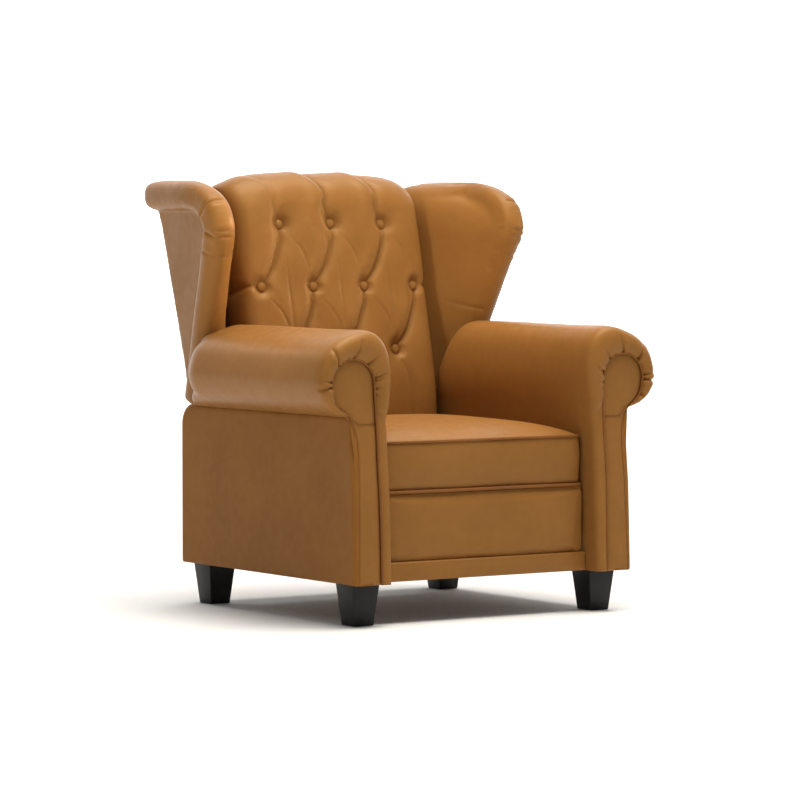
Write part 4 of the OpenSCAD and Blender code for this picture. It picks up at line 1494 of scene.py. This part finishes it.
    def relax(self, piece: bpy.types.Object) -> None:
        """Smooths the inner face and the front into one, and keeps the crease outside.

        Args:
            piece: the wing's cover.
        """
        p = points_of(piece)
        edge = np.array([self.edge_x(y, z) for y, z in p[:, 1:]])
        inward = smooth_step(8, 26, edge - p[:, 0] * self.side.value)
        add_group(piece, "inner", inward)
        apply_modifier(piece, "SMOOTH", factor=0.5, iterations=40, vertex_group="inner")
        piece.vertex_groups.clear()

    def crease(self, piece: bpy.types.Object, path: Points) -> None:
        """Draws in the pleats across the roll below its corner, and soft unevenness.

        Args:
            piece: the wing's cover.
            path: the roll's middle line.
        """
        p = points_of(piece)
        p[:, 0] *= self.side.value
        n = normals_of(piece) * [self.side.value, 1, 1]
        run = np.concatenate([[0], np.cumsum(np.linalg.norm(np.diff(path, axis=0), axis=1))])
        away = np.linalg.norm(p[:, None, 1:] - path[None, ::2, 1:], axis=2)
        nearest = np.argmin(away, axis=1) * 2
        ahead = np.gradient(path, axis=0)[nearest]
        along = run[nearest] + ((p - path[nearest]) * ahead).sum(1) / np.linalg.norm(ahead, axis=1)
        outward = smooth_step(-self.radius * 0.6, self.radius * 0.2, p[:, 0] - path[nearest, 0])
        on_roll = outward * smooth_step(50, 36, away[np.arange(len(p)), nearest // 2])
        corner = run[int(np.argmin(np.abs(path[:, 2] - self.corner_z - 50)))]
        depth = np.zeros(len(p))
        for offset, deep in ((0, 2.8), (58, 2.6), (106, 1.8)):
            d = along - corner - offset
            bulge = np.exp(-((np.abs(d) - 10) / 8) ** 2)
            depth += on_roll * deep * (1.5 * np.exp(-np.abs(d) / 2.6) - 0.45 * bulge)
        depth += 0.9 * np.sin(p[:, 2] / 37 + p[:, 1] / 61) * np.sin(p[:, 1] / 43 + 0.7)
        low = np.exp(-((p[:, 2] - 690 - 0.25 * (p[:, 1] - 200)) / 5) ** 2) * smooth_step(300, 180, p[:, 1])
        depth += 1.6 * low * (n[:, 0] < -0.3)
        p -= n * depth[:, None]
        p[:, 0] *= self.side.value
        set_points(piece, p)

    def build(self) -> None:
        """Makes and dresses the wing."""
        settle(self.cover(), "back", Finish.COVER, [f"{self.side.word}_wing_pad"])


# SEAT AND FOOTREST


@dataclass
class Seat:
    """The boxed seat cushion with piping round its upper and lower edge."""

    half: float = 278.0
    front: float = 340.0
    rear: float = 196.0
    low: float = 295.5
    high: float = 408.0
    corner: float = 16.0
    crown: float = 40.0

    def loop(self, inset: float) -> Points:
        """The cushion's outline from above, counter-clockwise from its rear left.

        Args:
            inset: how far inside the cushion's side it lies.

        Returns:
            Its 200 points, evenly spaced.
        """
        h, r = self.half - inset, self.corner
        front, rear = -self.front + inset, self.rear - inset
        turn = np.radians(np.linspace(0, 90, 10))
        corners = [(-h + r, front + r, 180), (h - r, front + r, 270), (h - r, rear - r, 0),
                   (-h + r, rear - r, 90)]
        line = np.vstack([[(x + r * math.cos(a + math.radians(b)), y + r * math.sin(a + math.radians(b)))
                           for a in turn] for x, y, b in corners])
        return even(np.vstack([line, line[:1]]), 201)[:-1]

    def cushion(self) -> bpy.types.Object:
        """The stuffed cushion: its top crowned, its sides full between the seams.

        Returns:
            The piece.
        """
        middle = np.array([0.0, (self.rear - self.front) / 2])
        stops = [(t, 0.5, self.low) for t in np.linspace(0.04, 1, 14)]
        stops += [(1.0, 0.5 - 1.5 * math.sin(math.pi * t), self.low + (self.high - self.low) * t)
                  for t in np.linspace(0, 1, 12)[1:-1]]
        stops += [(t, 0.5, self.high + self.crown * (1 - t ** 3.2)) for t in np.linspace(1, 0.04, 22)]
        rings = []
        for share, inset, level in stops:
            flat = middle + (self.loop(inset) - middle) * share
            rings.append(np.column_stack([flat, np.full(len(flat), level)]))
        piece = skin("seat_cushion_cover", np.array(rings))
        remesh(piece, 6.0, 1)
        p = points_of(piece)
        seam = self.off_seam(p)
        held = np.where(seam < 6, 1.0, 0.0)
        held = np.maximum(held, p[:, 2] < self.low + 3)
        inflate(piece, 16.0, held, pressure=5.0)
        subdivide(piece)
        p = points_of(piece)
        n = normals_of(piece)
        seam = self.off_seam(p)
        front_face = p[:, 1] < -self.front + 20
        depth = 3.0 * np.exp(-seam / 5.0)
        depth += 0.8 * np.sin(p[:, 0] / 47 + 0.4) * np.sin(p[:, 1] / 71) * (p[:, 2] > self.high - 2)
        depth += 0.8 * np.sin(p[:, 0] / 38) * np.sin(p[:, 2] / 21) * front_face
        set_points(piece, p - n * depth[:, None])
        return piece

    def off_seam(self, p: Points) -> Points:
        """Each point's distance from the nearest of the two seams.

        Args:
            p: the points, in millimetres from the datum.

        Returns:
            The distances.
        """
        h, r = self.half, self.corner
        cx = np.abs(p[:, 0]) - (h - r)
        cy = np.maximum(-self.front + r - p[:, 1], p[:, 1] - self.rear + r)
        outside = np.where((cx > 0) & (cy > 0), r - np.hypot(cx, cy), np.minimum(r - cx, r - cy))
        level = np.minimum(np.abs(p[:, 2] - self.low), np.abs(p[:, 2] - self.high))
        return np.hypot(np.clip(outside, 0, None), level)

    def welt(self) -> bpy.types.Object:
        """The two rings of piping.

        Returns:
            The piece.
        """
        cords = []
        for z, out, radius in ((self.low - 0.9, 1.6, 3.8), (self.high - 1.0, -0.6, 3.2)):
            loop = self.loop(-out)
            sag = 0.25 * np.sin(loop[:, 0] / 58)
            path = np.column_stack([loop, np.full(len(loop), z) + sag])
            path = np.vstack([path, path[:2]])
            cords.append(skin("welt", tube(path, radius, 12)))
        return join("seat_welt", cords)

    def build(self) -> None:
        """Makes and dresses the seat's pieces."""
        settle(self.cushion(), "seat", Finish.COVER, ["seat_cushion"])
        settle(self.welt(), "seat", Finish.WELT, ["seat_piping"])


@dataclass
class Footrest:
    """The padded panel under the seat, which swings out as the footrest."""

    half: float = 278.0
    front: float = 343.5
    rear: float = 337.0
    low: float = 138.9
    high: float = 290.0

    def pad(self) -> bpy.types.Object:
        """The pad: soft top edge, corners tucked in.

        Returns:
            The piece.
        """
        rings = []
        shares = np.concatenate([[0, 0.004, 0.012, 0.03], np.linspace(0.06, 0.94, 40),
                                 [0.97, 0.988, 0.996, 1]])
        for t in shares:
            x = -self.half + 2 * self.half * t
            end = min(t, 1 - t) * 2 * self.half
            k = quarter_round(end / 11)
            z = self.low + (self.high - self.low) * np.linspace(0, 1, 34)
            near = np.minimum(z - self.low, (self.high - z) * 0.55)
            y = -self.rear - (self.front - self.rear + 1.5) * quarter_round(near / 9) * (0.25 + 0.75 * k)
            rear = 1 - self.rear
            rings.append(np.vstack([np.column_stack([np.full(34, x), y, z]),
                                    [(x, rear, self.high), (x, rear, self.low)]]))
        piece = skin("footrest_cover", np.array(rings))
        remesh(piece, 4.0, 2)
        p = points_of(piece)
        held = np.where(p[:, 1] > -self.rear - 1, 1.0, 0.0)
        inflate(piece, 3.0, held, pressure=2.5)
        subdivide(piece)
        p = points_of(piece)
        n = normals_of(piece)
        face = n[:, 1] < -0.3
        depth = 0.9 * np.sin(p[:, 0] / 52 + 1.0) * np.sin(p[:, 2] / 27) * face
        for sign in (-1, 1):
            corner = ((sign * self.half, self.high), (sign * (self.half - 34), self.high - 26))
            fold = Fold(corner, 3.4, gentle=9.0, fade=1.0)
            depth += fold.sink(p[:, 0], p[:, 2])
        moved = p - n * depth[:, None]
        moved[:, 2] = np.where(n[:, 2] < -0.7, self.low, np.where(n[:, 2] > 0.7, self.high, moved[:, 2]))
        set_points(piece, moved)
        return piece

    def build(self) -> None:
        """Makes and dresses the pad."""
        settle(self.pad(), "footrest", Finish.COVER, ["footrest_pad"])


# BASE


@dataclass
class Base:
    """The covered rails and the four feet."""

    inner: float = 283.0
    floor: float = UNDERSIDE
    foot_top: float = 72.0
    foot_low: float = 52.0
    feet: tuple[tuple[str, float, float], ...] = (
        ("front_left_foot", -327.0, -317.0), ("front_right_foot", 327.0, -317.0),
        ("rear_left_foot", -327.0, 300.0), ("rear_right_foot", 327.0, 300.0))

    def rail(self, name: str, front: float, rear: float, high: float) -> bpy.types.Object:
        """A board with leather drawn over it: soft edges.

        Args:
            name: the piece's name.
            front: its front face.
            rear: its rear face.
            high: its top.

        Returns:
            The piece.
        """
        centre = np.array([0, (front + rear) / 2, (self.floor + high) / 2])
        size = [2 * self.inner - 1, rear - front, high - self.floor]
        return eased_box(name, lambda corners: centre + corners * size, 4.5, 4)

    def foot(self, name: str, x: float, y: float) -> bpy.types.Object:
        """One tapered foot with eased edges.

        Args:
            name: the foot's node.
            x: where its middle is, across.
            y: where its middle is, in depth.

        Returns:
            The piece.
        """
        def taper(corners: Points) -> Points:
            """The foot's corners from a cube's."""
            wide = np.where(corners[:, 2] > 0, self.foot_top, self.foot_low)
            return np.column_stack([x + corners[:, 0] * wide, y + corners[:, 1] * wide,
                                    (corners[:, 2] + 0.5) * self.floor])

        return eased_box(name + "_turned", taper, 2.0, 3)

    def build(self) -> None:
        """Makes and dresses the base's pieces."""
        front = self.rail("front_rail_cover", front=-350.5, rear=-328, high=138.6)
        settle(front, "base", Finish.COVER, ["front_rail"])
        rear = self.rail("rear_rail_cover", front=338, rear=361, high=296)
        settle(rear, "base", Finish.COVER, ["rear_rail"])
        for name, x, y in self.feet:
            settle(self.foot(name, x, y), "base", Finish.FOOT, [name])


def dress_frame() -> None:
    """Gives each solid that stays in view the finish of the real one."""
    rules: list[tuple[Callable[[str], bool], Finish]] = [
        (lambda n: n.endswith(("_frame", "_board")), Finish.PLYWOOD),
        (lambda n: "webbing" in n, Finish.STRAP),
        (lambda n: "plate" in n or "bracket" in n and "bolts" not in n, Finish.POWDER),
        (lambda n: True, Finish.ZINC)]
    for name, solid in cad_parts.items():
        if not solid.hide_render:
            dress(solid, next(finish for test, finish in rules if test(name)))


# STUDIO


@dataclass
class Studio:
    """Pale floor, soft lights and the photograph's camera."""

    eye: tuple[float, float, float] = (-5.0424, -7.5779, 0.9025)
    look_at: tuple[float, float, float] = (-0.0006, -0.0495, 0.4831)
    lens: float = 174.2
    wall_at: tuple[float, float, float] = (13.0, 19.5, 0.0)
    wall_turn: float = -0.5906
    sky: float = 0.25

    def paper(self, name: str, colour: str, glow: float) -> bpy.types.Material:
        """Matt white paper, which glows a little where it is lit from behind.

        Args:
            name: the material's name.
            colour: its hex colour.
            glow: how strongly it glows.

        Returns:
            The material.
        """
        return Shading(name).finish({
            "Base Color": linear(colour), "Roughness": 0.9, "Specular IOR Level": 0.1,
            "Emission Color": linear("ffffff"), "Emission Strength": glow})

    def floor(self) -> None:
        """A wide pale floor."""
        bpy.ops.object.select_all(action="DESELECT")
        bpy.ops.mesh.primitive_plane_add(size=60, location=(0, 0, -0.0005))
        floor = bpy.context.object
        floor.name = "studio_floor"
        floor.data.materials.append(self.paper("matt_white_paper", "e2e2e2", 0.0))

    def backdrop(self) -> None:
        """A lit paper wall far behind the chair."""
        bpy.ops.object.select_all(action="DESELECT")
        upright = (math.pi / 2, 0, self.wall_turn)
        bpy.ops.mesh.primitive_plane_add(size=60, location=self.wall_at, rotation=upright)
        wall = bpy.context.object
        wall.name = "studio_backdrop"
        bpy.ops.object.transform_apply(location=True, rotation=True, scale=True)
        wall.data.materials.append(self.paper("backlit_white_paper", "ffffff", 1.1))

    def sun(self, towards: tuple[float, float, float], power: float, softness: float) -> None:
        """The large soft light high over the chair, even over the whole floor.

        Args:
            towards: where it stands, seen from the chair.
            power: its strength.
            softness: how wide it looks, in degrees.
        """
        data = bpy.data.lights.new("overhead", "SUN")
        data.energy = power
        data.angle = math.radians(softness)
        data.color = linear("fffcf4")[:3]
        linked("overhead", data).rotation_euler = aimed(-Vector(towards))

    def lamp(self, name: str, at: tuple[float, float, float], size: float, power: float, colour: str,
             aim: tuple[float, float, float] = (0, 0, 0.5), spread: float = 180) -> None:
        """One square soft light, turned to a point of the chair.

        Args:
            name: the lamp's name.
            at: where it hangs, in metres.
            size: the length of its side, in metres.
            power: its power in watts.
            colour: its hex colour.
            aim: the point that it is turned to, in metres.
            spread: how wide its beam is, in degrees.
        """
        data = bpy.data.lights.new(name, "AREA")
        data.size = size
        data.energy = power
        data.color = linear(colour)[:3]
        data.spread = math.radians(spread)
        lamp = linked(name, data)
        lamp.location = at
        lamp.rotation_euler = aimed(Vector(aim) - Vector(at))

    def build(self) -> None:
        """Makes the floor, lights, sky and camera."""
        self.floor()
        self.backdrop()
        self.sun(towards=(0.14, -0.02, 1.0), power=3.8, softness=46)
        self.lamp("fill", at=(-2.4, -2.2, 3.2), size=2.0, power=7, colour="ffffff")
        self.lamp("over_seat", at=(0.0, -0.6, 1.75), size=0.9, power=10, colour="fff6e0")
        self.lamp("across", at=(-1.9, -0.7, 1.2), size=0.5, power=0.5, colour="fff6e0",
                  aim=(0.3, 0.05, 0.78), spread=22)
        self.lamp("wing_edge", at=(1.9, -0.9, 1.5), size=0.4, power=0.8, colour="fff0c8",
                  aim=(-0.38, 0.05, 0.82), spread=14)
        world = bpy.data.worlds.new("studio")
        world.use_nodes = True
        sky = world.node_tree.nodes["Background"]
        sky.inputs["Color"].default_value = linear("ffffff")
        sky.inputs["Strength"].default_value = self.sky
        bpy.context.scene.world = world
        view = bpy.context.scene.view_settings
        view.view_transform = "Standard"
        view.look = "None"
        view.exposure = 0.0
        view.gamma = 1.0
        data = bpy.data.cameras.new("camera")
        data.lens = self.lens
        data.sensor_width = 36.0
        data.clip_end = 200.0
        camera = linked("camera", data)
        camera.location = self.eye
        camera.rotation_euler = aimed(Vector(self.look_at) - Vector(self.eye))
        bpy.context.scene.camera = camera


def main() -> None:
    """Builds the chair's pieces in order."""
    Studio().build()
    for side in Side:
        Arm(side).build()
    Base().build()
    Seat().build()
    Footrest().build()
    Back().build()
    for side in Side:
        Wing(side).build()
    dress_frame()
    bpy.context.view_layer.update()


if __name__ == "__main__":
    main()
